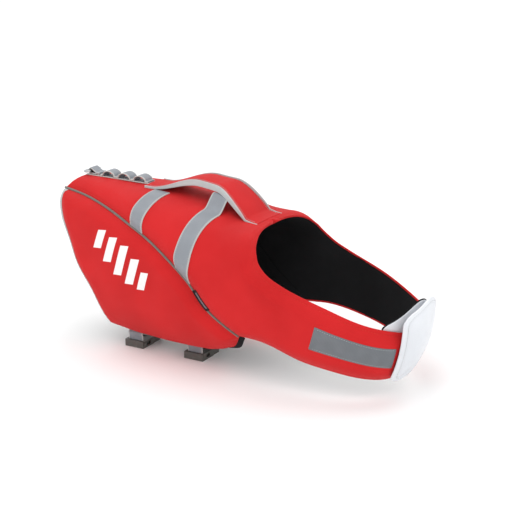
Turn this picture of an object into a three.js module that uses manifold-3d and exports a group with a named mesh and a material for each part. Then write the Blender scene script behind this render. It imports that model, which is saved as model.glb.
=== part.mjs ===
// Dog life jacket: a padded saddle with side panels, a collar that closes round the chest, a grab
// handle, a daisy chain with a leash ring, and two belly straps with side-release buckles.
// Millimetres. +X points to the head, +Y to the dog's left, +Z up.
//
// The panels follow one egg-shaped form. A place on it is a station (mm along the side, from the
// rear; past CHEST_X it turns round the chest) and an angle (degrees from the spine, 180 = belly).

import * as THREE from "three";
import { mergeVertices } from "three/addons/utils/BufferGeometryUtils.js";
import Module from "manifold-3d";

const wasm = await Module();
wasm.setup();

// ---- Form sizes ----
const CHEST_X = 360;             // where the sides start to turn round the chest
const CHEST_REACH = 212;         // from there to the front of the chest
const CHEST_RUN = 250;           // stations that a side takes to reach the front centre
const REAR_HALF_WIDTH = 62;
const CHEST_HALF_WIDTH = 104;
const MIDDLE_Z = 130;            // height of the form's widest line
const SPINE_RISE = 106;          // spine above the widest line, at the rear
const SPINE_DROP = 12;           // how much lower the spine is at the neck
const NECK_DIP = 9;              // further fall of the spine under the handle
const BELLY_DEPTH = 112;
const CHEST_HALF_HEIGHT = 190;
const SHOULDER_POWER = 3.2;      // roundness of the upper half of a section
const BELLY_POWER = 2.2;
const CHEST_POWER = 2.5;         // roundness of the chest in plan

// ---- Panel sizes ----
const NECK_STATION = 322;        // neck edge at the spine
const YOKE_STATION = 292;        // where the back and collar panels meet at the spine
const REAR_STATION = -14;        // rear edge at the spine
const ARM_END = 584;             // station where each collar arm ends
const GAP = 0.3;
const SEAM_ANGLE = 0.35;         // half of the seam between two panels, in degrees
const LINING = 1;
const COVER = 1.2;
const BACK_PAD = 11.5;           // padding under the back and side covers
const ARM_PAD = 8;               // padding at the ends of the collar arms
const YOKE_THINNING = 0.65;      // part of the padding that is missing on top of the yoke
const EDGE_RUN = 22;             // how far in from a seam the padding reaches its height
const LONG_STEPS = 14;
const CROSS_STEPS = 10;
const UPPER_TRIM = 2;            // columns of the grid that the foam leaves free below an upper seam

// ---- Webbing and trim sizes ----
const WEBBING = 1.6;
const STRAP_WIDTH = 26;
const REAR_STRAP = [160, 151];   // stations of a back strap's middle at its top and bottom
const FRONT_STRAP = [263, 244];
const STRAP_TOP_Y = 33;          // where both straps come out from the handle
const LIFT = 0.6;                // webbing above the cover that it is sewn to
const PIPING_RADIUS = 1.9;
const BINDING = 2.6;
const DAISY_WIDTH = 20;
const DAISY_START = 34;
const DAISY_PITCH = 29;
const DAISY_ARCHES = 3;
const DAISY_RISE = 7.5;
const RING_BAR_X = 15;
const RING_WIDTH = 28;
const RING_REACH = 19;
const RING_STOCK = 3.6;
const RING_REST_TILT = 12;       // degrees that the lying ring points down to the rear

// ---- Handle sizes ----
const HANDLE_REAR = 128;
const HANDLE_FRONT = 308;
const HANDLE_WIDTH = 50;
const HANDLE_FLARE = 10;
const HANDLE_HEIGHT = 27;        // top of the arch above the back
const HANDLE_CREST = [235, 250]; // between these the arch is at its full height
const HANDLE_THICK = 9;
const HANDLE_FOOT = 3.2;
const HANDLE_SKIN = 1;

// ---- Closure sizes ----
const FLAP_END = 571;            // free end, over the right arm
const FLAP_FOLD = 640;           // fold, in front of the left arm
const FLAP_THICK = 3;
const TONGUE_BACK = 556;
const TONGUE_FRONT = 664;
const PATCH = 1;
const FLAP_CLEARANCE = 0.6;      // between the hook and loop patches
const FOLD_HEIGHT = 5.5;         // of the flap's inner face at its fold

// ---- Buckle sizes ----
const BELLY_STRAPS = [["rear", 120], ["front", 228]];
const BUCKLE_WIDTH = 33;
const BUCKLE_HEIGHT = 11;
const BUCKLE_WALL = 1.8;
const HOUSING_LENGTH = 30;
const HOUSING_Y = -54;           // outer end of the housing
const FAR_TURN_Y = 40;           // where a belly strap turns up on the left
const CLIP_LENGTH = 17;
const PRONG_LENGTH = 18;
const PRONG_OFFSET = 9.5;
const PRONG_WIDTH = 4;
const BELLY_Z = 2.6;             // height of the flat run of a belly strap

const FABRIC_RED = { color: 0xc62a2c, roughness: 0.8, metalness: 0 };
const FOAM = { color: 0xb8b8ac, roughness: 0.9, metalness: 0 };
const LINING_BLACK = { color: 0x1a1a1c, roughness: 0.85, metalness: 0 };
const WEBBING_GRAY = { color: 0x9ea3aa, roughness: 0.75, metalness: 0 };
const PLASTIC = { color: 0x5a5853, roughness: 0.45, metalness: 0 };
const WHITE_VINYL = { color: 0xe6ebef, roughness: 0.4, metalness: 0 };
const REFLECTIVE = { color: 0x6f7578, roughness: 0.35, metalness: 0.2 };
const STEEL = { color: 0xc9ccd0, roughness: 0.25, metalness: 1 };

const { lerp, clamp, degToRad, smoothstep } = THREE.MathUtils;
const RIGHT = -1;
const LEFT = 1;
const jacket = new THREE.Group();

function add(name, geometry, finish, parent = jacket) {
  const mesh = new THREE.Mesh(geometry, new THREE.MeshStandardMaterial(finish));
  mesh.name = name;
  parent.add(mesh);
  return mesh;
}

// ---- The form ----

/** Radius of a super-ellipse with half-axes a (along sine) and b (along cosine). */
function ovalRadius(sine, cosine, a, b, power) {
  const sum = (Math.abs(sine) / a) ** power + (Math.abs(cosine) / b) ** power;
  return sum ** (-1 / power);
}

/** Where a station's section stands: its centre, its outward direction and its half-width. */
function section(side, station) {
  if (station <= CHEST_X) {
    const turn = Math.sin((Math.PI / 2) * clamp(station / CHEST_X, -0.3, 1));
    return {
      centre: new THREE.Vector3(station, 0, MIDDLE_Z),
      outward: new THREE.Vector3(0, side, 0),
      width: lerp(REAR_HALF_WIDTH, CHEST_HALF_WIDTH, turn),
    };
  }
  const turn = (Math.PI / 2) * (station - CHEST_X) / CHEST_RUN;
  return {
    centre: new THREE.Vector3(CHEST_X, 0, MIDDLE_Z),
    outward: new THREE.Vector3(Math.sin(turn), side * Math.cos(turn), 0),
    width: ovalRadius(Math.sin(turn), Math.cos(turn), CHEST_REACH, CHEST_HALF_WIDTH, CHEST_POWER),
  };
}

function formPoint(side, station, angle) {
  const { centre, outward, width } = section(side, station);
  const chest = smoothstep(station, CHEST_X - 30, CHEST_X - 30 + CHEST_RUN);
  const dip = NECK_DIP * smoothstep(station, HANDLE_REAR, NECK_STATION);
  const spine = SPINE_RISE - SPINE_DROP * clamp(station / NECK_STATION, 0, 1) ** 2 - dip;
  const sine = Math.sin(degToRad(angle));
  const cosine = Math.cos(degToRad(angle));
  const height = lerp(cosine > 0 ? spine : BELLY_DEPTH, CHEST_HALF_HEIGHT, chest);
  const power = cosine > 0 ? SHOULDER_POWER : BELLY_POWER;
  const radius = ovalRadius(sine, cosine, width, height, power);
  return centre.clone().addScaledVector(outward, radius * sine).setZ(MIDDLE_Z + radius * cosine);
}

function formNormal(side, station, angle) {
  const step = 0.5;
  const along = formPoint(side, station + step, angle).sub(formPoint(side, station - step, angle));
  const low = Math.max(angle - step, 0);
  const around = formPoint(side, station, angle + step).sub(formPoint(side, station, low));
  return along.cross(around).multiplyScalar(side).normalize();
}

/** A point at a height above the form, where height is measured square to it. */
function above(side, [station, angle], height) {
  const normal = formNormal(side, station, angle);
  return formPoint(side, station, angle).addScaledVector(normal, height);
}

// ---- Solid builders ----

function signedVolume(points, triangles) {
  let sum = 0;
  for (const [a, b, c] of triangles) {
    sum += points[a].dot(points[b].clone().cross(points[c])) / 6;
  }
  return sum;
}

/** Makes a closed sheet between two grids of points, each grid[row][column]. */
function sheet(top, bottom) {
  const rows = top.length;
  const columns = top[0].length;
  const points = [...top.flat(), ...bottom.flat()];
  const at = (layer, row, column) => (layer * rows + row) * columns + column;
  const triangles = [];
  const quad = (a, b, c, d) => triangles.push([a, b, c], [a, c, d]);
  for (let row = 0; row + 1 < rows; row += 1) {
    for (let column = 0; column + 1 < columns; column += 1) {
      const corner = [[row, column], [row + 1, column], [row + 1, column + 1], [row, column + 1]];
      const [a, b, c, d] = corner.map(([r, k]) => at(0, r, k));
      const [e, f, g, h] = corner.map(([r, k]) => at(1, r, k));
      quad(a, b, c, d);
      triangles.push([e, g, f], [e, h, g]);
    }
    quad(at(0, row + 1, 0), at(0, row, 0), at(1, row, 0), at(1, row + 1, 0));
    const last = columns - 1;
    quad(at(0, row, last), at(0, row + 1, last), at(1, row + 1, last), at(1, row, last));
  }
  for (let column = 0; column + 1 < columns; column += 1) {
    quad(at(0, 0, column), at(0, 0, column + 1), at(1, 0, column + 1), at(1, 0, column));
    const last = rows - 1;
    quad(at(0, last, column + 1), at(0, last, column), at(1, last, column), at(1, last, column + 1));
  }
  return facesOut(points, triangles);
}

function facesOut(points, triangles) {
  const inward = signedVolume(points, triangles) < 0;
  const index = triangles.flatMap(([a, b, c]) => (inward ? [a, c, b] : [a, b, c]));
  const geometry = new THREE.BufferGeometry();
  geometry.setAttribute("position",
    new THREE.Float32BufferAttribute(points.flatMap((point) => point.toArray()), 3));
  geometry.setIndex(index);
  geometry.computeVertexNormals();
  return geometry;
}

/** Makes a solid from loops of points, each joined to the next, with flat ends. */
function loft(loops) {
  const sides = loops[0].length;
  const points = loops.flat();
  const triangles = [];
  for (let ring = 0; ring + 1 < loops.length; ring += 1) {
    for (let k = 0; k < sides; k += 1) {
      const next = (k + 1) % sides;
      const [a, b] = [ring * sides + k, ring * sides + next];
      triangles.push([a, b, b + sides], [a, b + sides, a + sides]);
    }
  }
  const end = (loops.length - 1) * sides;
  for (let k = 1; k + 1 < sides; k += 1) {
    triangles.push([0, k + 1, k], [end, end + k, end + k + 1]);
  }
  return facesOut(points, triangles);
}

function toSolid(geometry) {
  const bare = geometry.clone();
  bare.deleteAttribute("normal");
  bare.deleteAttribute("uv");
  const merged = mergeVertices(bare, 1e-4);
  return new wasm.Manifold(new wasm.Mesh({
    numProp: 3,
    vertProperties: new Float32Array(merged.attributes.position.array),
    triVerts: new Uint32Array(merged.index.array),
  }));
}

function fromSolid(solid) {
  const mesh = solid.getMesh();
  const geometry = new THREE.BufferGeometry();
  geometry.setAttribute("position", new THREE.BufferAttribute(mesh.vertProperties, 3));
  geometry.setIndex(new THREE.BufferAttribute(mesh.triVerts, 1));
  geometry.computeVertexNormals();
  return geometry;
}

/** A box given by its two opposite corners. */
function block(low, high) {
  const size = high.map((value, axis) => value - low[axis]);
  const middle = high.map((value, axis) => (value + low[axis]) / 2);
  return new THREE.BoxGeometry(...size).translate(...middle);
}

function cut(geometry, ...tools) {
  return fromSolid(tools.reduce((solid, tool) => solid.subtract(toSolid(tool)), toSolid(geometry)));
}

function join(geometry, ...others) {
  return fromSolid(others.reduce((solid, other) => solid.add(toSolid(other)), toSolid(geometry)));
}

// ---- Panel outlines, as places [station, angle] ----

/** Steps that are closer together near both ends, where the padding rises. */
function eased(step, steps) {
  const even = step / steps;
  return lerp(even, 0.5 - 0.5 * Math.cos(Math.PI * even), 0.6);
}

function places(outline, steps) {
  const curve = new THREE.CatmullRomCurve3(
    outline.map(([station, angle]) => new THREE.Vector3(station, angle * 1.9, 0)), false, "centripetal");
  return Array.from({ length: steps + 1 }, (_, step) => {
    const point = curve.getPointAt(eased(step, steps));
    return [point.x, Math.max(point.y, 0) / 1.9];
  });
}

const PIPING = [
  [REAR_STATION, 19], [37, 26], [85, 35], [125, 44], [189, 60], [250, 83], [284, 104], [332, 123],
];
const SPINE = [[REAR_STATION, 0], [YOKE_STATION, 0]];
const YOKE = [[YOKE_STATION, 0], [306, 60], [332, 123]];
const REAR_EDGE = [[REAR_STATION, 19], [-14, 28], [-5, 41], [13, 62], [31, 94], [60, 125], [74, 155]];
const BELLY_EDGE = [[74, 155], [141, 157], [205, 155], [276, 150]];
const SIDE_FRONT = [[332, 123], [312, 139], [276, 150]];
const NECK_EDGE = [
  [YOKE_STATION, 0], [NECK_STATION + 2, 0], [NECK_STATION + 12, 12], [348, 42], [362, 58], [388, 68], [430, 77], [490, 87.5], [535, 95], [ARM_END, 99],
];
const ARM_LOWER_RIGHT = [[332, 123], [384, 123.5], [460, 125], [517, 122], [ARM_END, 119]];
const ARM_LOWER_LEFT = [[332, 123], [384, 121], [460, 119], [517, 117], [ARM_END, 116]];

/** The angle of an outline at a station. */
function angleOf(outline, station) {
  const row = places(outline, 60);
  const next = row.findIndex(([value]) => value >= station);
  const [[s0, a0], [s1, a1]] = [row[next - 1], row[next]];
  return lerp(a0, a1, (station - s0) / (s1 - s0));
}

/** Fills a four-sided outline with a grid of places, held back from each edge by a seam. */
function fill({ upper, lower, rear, front }) {
  const top = places(upper, LONG_STEPS);
  const bottom = places(lower, LONG_STEPS);
  const back = places(rear, CROSS_STEPS);
  const fore = places(front, CROSS_STEPS);
  const blend = (i, j, axis) => {
    const u = eased(i, LONG_STEPS);
    const v = eased(j, CROSS_STEPS);
    const ruled = lerp(top[i][axis], bottom[i][axis], v) + lerp(back[j][axis], fore[j][axis], u);
    const corners = lerp(
      lerp(top[0][axis], bottom[0][axis], v), lerp(top[LONG_STEPS][axis], bottom[LONG_STEPS][axis], v), u);
    return ruled - corners;
  };
  return top.map((_, i) => back.map((__, j) => {
    const inStation = (i === 0 ? SEAM_ANGLE : 0) - (i === LONG_STEPS ? SEAM_ANGLE : 0);
    const inAngle = (j === 0 ? SEAM_ANGLE : 0) - (j === CROSS_STEPS ? SEAM_ANGLE : 0);
    return [blend(i, j, 0) + inStation, blend(i, j, 1) + inAngle];
  }));
}

/** The padding's full height at a place, away from any seam. */
function fullPadding([station, angle]) {
  const along = lerp(BACK_PAD, ARM_PAD, smoothstep(station, CHEST_X - 20, CHEST_X + 0.8 * CHEST_RUN));
  const yoke = smoothstep(station, YOKE_STATION - 37, YOKE_STATION + 8) * (1 - smoothstep(angle, 25, 60));
  return along * (1 - YOKE_THINNING * yoke);
}

/** Height of the padding over each place, falling to nothing at the pinched edges. */
function padding(side, grid, pinched) {
  const base = grid.map((row) => row.map((place) => above(side, place, 0)));
  const onSpine = (i, j) => grid[i][j][1] < 1 && grid[i][j][0] > REAR_STATION + 1;
  const edge = [];
  const addEdge = (i, j, nextI, nextJ) => {
    if (!onSpine(i, j)) edge.push(new THREE.Line3(base[i][j], base[nextI][nextJ]));
  };
  for (let i = 0; i < LONG_STEPS; i += 1) {
    if (pinched.upper) addEdge(i, 0, i + 1, 0);
    if (pinched.lower) addEdge(i, CROSS_STEPS, i + 1, CROSS_STEPS);
  }
  for (let j = 0; j < CROSS_STEPS; j += 1) {
    if (pinched.rear) addEdge(0, j, 0, j + 1);
    if (pinched.front) addEdge(LONG_STEPS, j, LONG_STEPS, j + 1);
  }
  const nearest = new THREE.Vector3();
  const distance = (line, point) => line.closestPointToPoint(point, true, nearest).distanceTo(point);
  return grid.map((row, i) => row.map((place, j) => {
    const inset = Math.min(...edge.map((line) => distance(line, base[i][j])));
    return fullPadding(place) * Math.sin((Math.PI / 2) * Math.min(inset / EDGE_RUN, 1));
  }));
}

/** Builds one padded panel: lining inside, foam, and the cover over it. */
function panel(name, side, outline, pinched) {
  const word = side === RIGHT ? "right" : "left";
  const grid = fill(outline);
  const pad = padding(side, grid, pinched);
  const layer = (height) => grid.map((row, i) => row.map((place, j) => above(side, place, height(i, j))));
  const inner = LINING + GAP;
  add(`${name}_lining_${word}`, sheet(layer(() => LINING), layer(() => 0)), LINING_BLACK);
  const cover = add(`${name}_cover_${word}`, sheet(
    layer((i, j) => inner + pad[i][j] + COVER), layer((i, j) => inner + pad[i][j])), FABRIC_RED);
  const trim = (layout) => layout
    .slice(pinched.rear ? 1 : 0, pinched.front ? -1 : undefined)
    .map((row) => row.slice(pinched.upper ? UPPER_TRIM : 0, pinched.lower ? -1 : undefined));
  add(`${name}_foam_${word}`, sheet(
    trim(layer((i, j) => inner + pad[i][j] - GAP)), trim(layer(() => inner))), FOAM);
  return cover;
}

// ---- Trim that is sewn onto a cover ----

const caster = new THREE.Raycaster();

/** How high a cover's outer face stands above the form at a place. */
function coverHeight(cover, side, place) {
  const start = above(side, place, 60);
  caster.set(start, formNormal(side, ...place).negate());
  const [hit] = caster.intersectObject(cover);
  return hit ? 60 - hit.distance : 0;
}

/** The point over a place that clears a cover's outer face, there and just round it. */
function onCover(cover, side, place, lift) {
  const round = [[0, 0], [4, 0], [-4, 0], [0, 2], [0, -2]];
  const heights = round.map(([ds, da]) => coverHeight(cover, side, [place[0] + ds, place[1] + da]));
  return above(side, place, Math.max(...heights) + lift);
}

/** Lays a band of webbing or tape over a cover, through a grid of places. */
function laidBand(cover, side, grid, thickness, lift = LIFT) {
  const face = (height) => grid.map((row) => row.map((place) => onCover(cover, side, place, height)));
  return sheet(face(lift + thickness), face(lift));
}

function angleAtY(side, station, distance) {
  let low = 0;
  let high = 80;
  for (let pass = 0; pass < 30; pass += 1) {
    const middle = (low + high) / 2;
    if (Math.abs(formPoint(side, station, middle).y) < distance) low = middle;
    else high = middle;
  }
  return low;
}

/** A strap that slants down the back from the handle to the piping. */
function backStrap(cover, side, [topMiddle, bottomMiddle]) {
  const steps = 22;
  const grid = [-0.5, -0.25, 0, 0.25, 0.5].map((share) => {
    const start = topMiddle + share * STRAP_WIDTH;
    const end = bottomMiddle + share * STRAP_WIDTH;
    const top = angleAtY(side, start, STRAP_TOP_Y);
    const bottom = angleOf(PIPING, end) - 2.2;
    return Array.from({ length: steps + 1 }, (_, k) =>
      [lerp(start, end, k / steps), lerp(top, bottom, k / steps)]);
  });
  return laidBand(cover, side, grid, WEBBING, LIFT + 0.3);
}

/** Round piping over the seam between the back and side panels. */
function piping(side) {
  const height = LINING + GAP + COVER + GAP + PIPING_RADIUS + 0.9;
  const row = places(PIPING, LONG_STEPS);
  const sides = 8;
  const loops = row.map((place, k) => {
    const centre = above(side, place, height);
    const before = above(side, row[Math.max(k - 1, 0)], height);
    const after = above(side, row[Math.min(k + 1, LONG_STEPS)], height);
    const along = after.sub(before).normalize();
    const up = formNormal(side, ...place);
    const across = new THREE.Vector3().crossVectors(along, up).normalize();
    const square = new THREE.Vector3().crossVectors(across, along);
    return Array.from({ length: sides }, (_, corner) => {
      const turn = (2 * Math.PI * (corner + 0.5)) / sides;
      return centre.clone()
        .addScaledVector(across, PIPING_RADIUS * Math.cos(turn))
        .addScaledVector(square, PIPING_RADIUS * Math.sin(turn));
    });
  });
  return loft(loops);
}

/** Woven binding along the rear edge of a side panel. */
function rearBinding(side) {
  const face = (back) => places(REAR_EDGE, CROSS_STEPS)
    .slice(1)
    .map(([station, angle]) => [-0.6, LINING + GAP + COVER + 1.6].map(
      (height) => above(side, [station - back, angle], height)));
  return sheet(face(GAP + BINDING), face(GAP));
}

/** A narrow tab sewn into the piping seam, with nothing written on it. */
function sizeTab(cover) {
  const grid = [0, 0.25, 0.5, 0.75, 1].map((share) => {
    const station = lerp(270, 289, share);
    const seam = angleOf(PIPING, station);
    return [2, 4, 6].map((up) => [station, seam - up]);
  });
  return laidBand(cover, RIGHT, grid, 0.8);
}

function reflector(cover, side) {
  const lower = side === RIGHT ? 111.5 : 109;
  const grid = Array.from({ length: 11 }, (_, k) => {
    const share = k / 10;
    const upper = lerp(98, 103.5, Math.sin((Math.PI / 2) * share)) - (side === LEFT ? 2 : 0);
    return Array.from({ length: 5 }, (__, m) => {
      const down = m / 4;
      return [lerp(486 - 6 * down, FLAP_END - 3, share), lerp(upper, lower, down)];
    });
  });
  return laidBand(cover, side, grid, 0.5, LIFT + 0.2);
}

// ---- Handle, daisy chain and leash ring, along the spine ----

function backTop(x) {
  return formPoint(RIGHT, x, 0).z + LINING + GAP + fullPadding([x, 0]) + COVER;
}

/** Outline [x, z] of a strip bent along a path, for webbing seen from the side. */
function stripShape(path, thickness) {
  const offset = (sign) => path.map((point, k) => {
    const before = path[Math.max(k - 1, 0)];
    const after = path[Math.min(k + 1, path.length - 1)];
    const along = after.clone().sub(before).normalize();
    return new THREE.Vector2(
      point.x - sign * along.y * thickness / 2, point.y + sign * along.x * thickness / 2);
  });
  return new THREE.Shape([...offset(1), ...offset(-1).reverse()]);
}

/** Extrudes an [x, z] outline across the spine. */
function acrossSpine(shape, width) {
  return new THREE.ExtrudeGeometry(shape, { depth: width, bevelEnabled: false })
    .rotateX(Math.PI / 2)
    .translate(0, width / 2, 0);
}

function daisyBase() {
  const x = (k) => lerp(RING_BAR_X - 8, DAISY_START + DAISY_PITCH * DAISY_ARCHES + 5, k / 12);
  const path = Array.from({ length: 13 }, (_, k) =>
    new THREE.Vector2(x(k), backTop(x(k)) + LIFT + WEBBING / 2));
  return acrossSpine(stripShape(path, WEBBING), DAISY_WIDTH);
}

function daisyArches() {
  const steps = 10;
  const tack = 0.12;
  const path = Array.from({ length: DAISY_ARCHES * steps + 1 }, (_, k) => {
    const x = DAISY_START + (DAISY_PITCH * k) / steps;
    const phase = (k % steps) / steps;
    const rise = phase < tack || phase > 1 - tack ? 0 : Math.sin(Math.PI * (phase - tack) / (1 - 2 * tack));
    const foot = backTop(x) + LIFT + WEBBING + GAP + WEBBING / 2 + 0.1;
    return new THREE.Vector2(x, foot + DAISY_RISE * Math.sqrt(rise));
  });
  return acrossSpine(stripShape(path, WEBBING), DAISY_WIDTH);
}

function ringBarZ() {
  return backTop(RING_BAR_X) + LIFT + WEBBING + GAP + WEBBING + RING_STOCK * 0.9;
}

/** A loop of webbing round the ring's straight bar, both ends sewn down in front of it. */
function ringTab() {
  const z = ringBarZ();
  const radius = RING_STOCK * 0.9 + WEBBING / 2;
  const bend = Array.from({ length: 9 }, (_, k) => {
    const turn = Math.PI / 2 + (Math.PI * k) / 8;
    return new THREE.Vector2(RING_BAR_X + radius * Math.cos(turn), z + radius * Math.sin(turn));
  });
  const low = new THREE.Vector2(DAISY_START - 3, z - radius);
  const high = new THREE.Vector2(DAISY_START - 3, z - radius + WEBBING + GAP);
  const shoulder = new THREE.Vector2(RING_BAR_X + 2.5 * radius, z - radius + WEBBING + 2 * GAP);
  return acrossSpine(stripShape([high, shoulder, ...bend, low], WEBBING), DAISY_WIDTH - 2);
}

/** D outline with its straight side on the Y axis and its bow to -X. */
function dOutline(halfWidth, reach, shift) {
  const path = new THREE.Path();
  path.moveTo(shift, -halfWidth);
  path.lineTo(shift, halfWidth);
  path.absellipse(shift, 0, reach, halfWidth, Math.PI / 2, 1.5 * Math.PI, false);
  return path.getPoints(12);
}

function leashRing() {
  const bevel = RING_STOCK * 0.28;
  const bar = RING_STOCK / 2 - bevel;
  const inner = RING_STOCK - bevel;
  const shape = new THREE.Shape(dOutline(RING_WIDTH / 2 - bevel, RING_REACH - bevel, bar));
  const hole = dOutline(RING_WIDTH / 2 - inner, RING_REACH - inner - RING_STOCK / 2, -bar);
  shape.holes.push(new THREE.Path(hole.reverse()));
  return new THREE.ExtrudeGeometry(shape, {
    depth: RING_STOCK - 2 * bevel,
    bevelThickness: bevel,
    bevelSize: bevel,
    bevelSegments: 2,
    curveSegments: 12,
  }).translate(0, 0, bevel - RING_STOCK / 2);
}

/** One station along the handle: place, underside height, thickness and half-width. */
function handleStation(share) {
  const x = lerp(HANDLE_REAR, HANDLE_FRONT, share);
  const fall = Math.max((x - HANDLE_CREST[1]) / (HANDLE_FRONT - HANDLE_CREST[1]), 0);
  const rise = smoothstep(x, HANDLE_REAR + 10, HANDLE_CREST[0]) * (1 - fall * fall);
  const thick = lerp(HANDLE_FOOT, HANDLE_THICK, rise);
  const top = backTop(x) + LIFT + HANDLE_FOOT + rise * HANDLE_HEIGHT;
  const half = HANDLE_WIDTH / 2 + HANDLE_FLARE * smoothstep(share, 0.6, 1);
  return { x, top, thick, half };
}

const HANDLE_STEPS = 26;

function handleLoops(inset, from, to) {
  return Array.from({ length: HANDLE_STEPS + 1 }, (_, k) => {
    const { x, top, thick, half } = handleStation(lerp(from, to, k / HANDLE_STEPS));
    const round = Math.min(thick / 2, 3) - inset;
    const low = top - thick + inset;
    const high = top - inset;
    const edge = half - inset;
    const ends = [[edge - round, low], [edge, low + round], [edge, high - round], [edge - round, high]];
    const left = ends.map(([y, z]) => new THREE.Vector3(x, y, z));
    const right = ends.map(([y, z]) => new THREE.Vector3(x, -y, z)).reverse();
    return [...left, ...right];
  });
}

function handleCover() {
  return cut(loft(handleLoops(0, 0, 1)), loft(handleLoops(HANDLE_SKIN, -0.01, 1.01)));
}

/** The webbing along one edge of the handle, a strip standing against its side. */
function handleWebbing(side) {
  const face = (out) => Array.from({ length: HANDLE_STEPS + 1 }, (_, k) => {
    const { x, top, thick, half } = handleStation(k / HANDLE_STEPS);
    return [top - thick - 0.2, top + 0.2].map((z) => new THREE.Vector3(x, side * (half + out), z));
  });
  return sheet(face(GAP + WEBBING), face(GAP));
}

// ---- Chest closure ----

/** Upper and lower edge of the white closure at a station on the right side's count. */
function closureEdge(station) {
  const share = clamp((station - FLAP_END) / (FLAP_FOLD - FLAP_END), -0.2, 1.3);
  return [91.5 - 4.5 * Math.sin(Math.PI * share), 117.5 - 7 * Math.sin((Math.PI / 2) * share)];
}

function closureSheet(from, to, trim, lowHeight, highHeight, steps = 16) {
  const face = (height) => Array.from({ length: steps + 1 }, (_, k) => {
    const station = lerp(from, to, k / steps);
    const [upper, lower] = closureEdge(station);
    return Array.from({ length: 7 }, (__, m) => {
      const angle = lerp(upper + trim, lower - trim, m / 6);
      return above(RIGHT, [station, angle], height(station));
    });
  });
  return sheet(face(highHeight), face(lowHeight));
}

/** Height of the flap's inner face, which steps down from its start on the right arm to the fold. */
function flapHeight(station, start) {
  return lerp(start, FOLD_HEIGHT, smoothstep(station, ARM_END - 6, FLAP_FOLD - 12));
}

function closure(rightArm) {
  const loopGrid = Array.from({ length: 6 }, (_, k) => {
    const station = lerp(FLAP_END + 4, ARM_END - 2, k / 5);
    return Array.from({ length: 6 }, (__, m) => [station, lerp(102.5, 115.5, m / 5)]);
  });
  const loop = add("closure_loop_patch", laidBand(rightArm, RIGHT, loopGrid, PATCH), LINING_BLACK);
  const loopTop = Math.max(...loopGrid.flat().map((place) => coverHeight(loop, RIGHT, place)));
  const start = loopTop + FLAP_CLEARANCE + PATCH + 2 * GAP;
  const raised = (extra) => (station) => flapHeight(station, start) + extra;
  add("closure_pad", closureSheet(
    FLAP_END + 1.5, FLAP_FOLD - 1.5, 0.7, raised(0), raised(FLAP_THICK)), FOAM);
  add("closure_flap", closureSheet(
    FLAP_END, FLAP_FOLD, 0, raised(FLAP_THICK + 2 * GAP), raised(FLAP_THICK + 2 * GAP + COVER)), WHITE_VINYL);
  add("closure_hook_patch", closureSheet(
    FLAP_END + 4, ARM_END - 2, 4, raised(-2 * GAP - PATCH), raised(-2 * GAP), 5), LINING_BLACK);
  add("closure_tongue", closureSheet(
    TONGUE_BACK, TONGUE_FRONT, 1.5, () => -3.4 * LIFT - 2.4, () => -3.4 * LIFT, 22), WHITE_VINYL);
}

// ---- Belly straps and buckles ----

/** A strap across one buckle: route(x) gives its [y, z] path at each x across its width. */
function bellyRibbon(middle, route) {
  const columns = [-0.5, -0.17, 0.17, 0.5].map((share) => {
    const x = middle + share * (STRAP_WIDTH - 1);
    const path = route(x);
    return path.map((point, k) => {
      const before = path[Math.max(k - 1, 0)];
      const after = path[Math.min(k + 1, path.length - 1)];
      const along = after.clone().sub(before).normalize();
      const lean = new THREE.Vector2(-along.y, along.x).multiplyScalar(WEBBING / 2);
      return [1, -1].map((sign) => new THREE.Vector3(
        x, point.x + sign * lean.x, point.y + sign * lean.y));
    });
  });
  const face = (which) => columns.map((column) => column.map((pair) => pair[which]));
  return sheet(face(0), face(1));
}

/** The part of a belly strap that is sewn inside a side panel's lower edge. */
function sewnPath(side, x) {
  const edge = angleOf(BELLY_EDGE, x);
  return [-9, -4, 1.5].map((past) => {
    const point = above(side, [x, edge + past], -2 * LIFT - WEBBING / 2);
    return new THREE.Vector2(point.y, point.z);
  });
}

function stubStrap(middle) {
  const barY = HOUSING_Y + 6;
  return bellyRibbon(middle, (x) => [
    ...sewnPath(RIGHT, x),
    new THREE.Vector2(barY - 1, BUCKLE_HEIGHT + 12),
    new THREE.Vector2(barY, BUCKLE_HEIGHT + 5),
    new THREE.Vector2(barY, BUCKLE_WALL + 1),
  ]);
}

function farStrap(middle) {
  const start = HOUSING_Y + HOUSING_LENGTH + 4;
  return bellyRibbon(middle, (x) => [
    new THREE.Vector2(start, BELLY_Z),
    new THREE.Vector2((start + FAR_TURN_Y) / 2, BELLY_Z),
    new THREE.Vector2(FAR_TURN_Y - 6, BELLY_Z),
    new THREE.Vector2(FAR_TURN_Y - 1.5, BELLY_Z + 4),
    new THREE.Vector2(FAR_TURN_Y - 0.5, BUCKLE_HEIGHT + 10),
    ...sewnPath(LEFT, x).reverse(),
  ]);
}

function housing(middle) {
  const half = BUCKLE_WIDTH / 2;
  const inner = half - 2.3;
  const end = HOUSING_Y + HOUSING_LENGTH;
  const barEnd = HOUSING_Y + 9;
  const top = BUCKLE_HEIGHT;
  return cut(
    block([middle - half, HOUSING_Y, 0], [middle + half, end, top]),
    block([middle - inner, barEnd + 2, BUCKLE_WALL], [middle + inner, end + 1, top - BUCKLE_WALL]),
    block([middle - STRAP_WIDTH / 2 - 0.2, HOUSING_Y + 4.2, BUCKLE_WALL],
      [middle + STRAP_WIDTH / 2 + 0.2, HOUSING_Y + 7.8, top + 1]),
    block([middle - half - 1, end - 19, 3], [middle + half + 1, end - 9, top - 2.6]),
    block([middle - 6, end - 7, top - BUCKLE_WALL - 1], [middle + 6, end + 1, top + 1]),
  );
}

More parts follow.
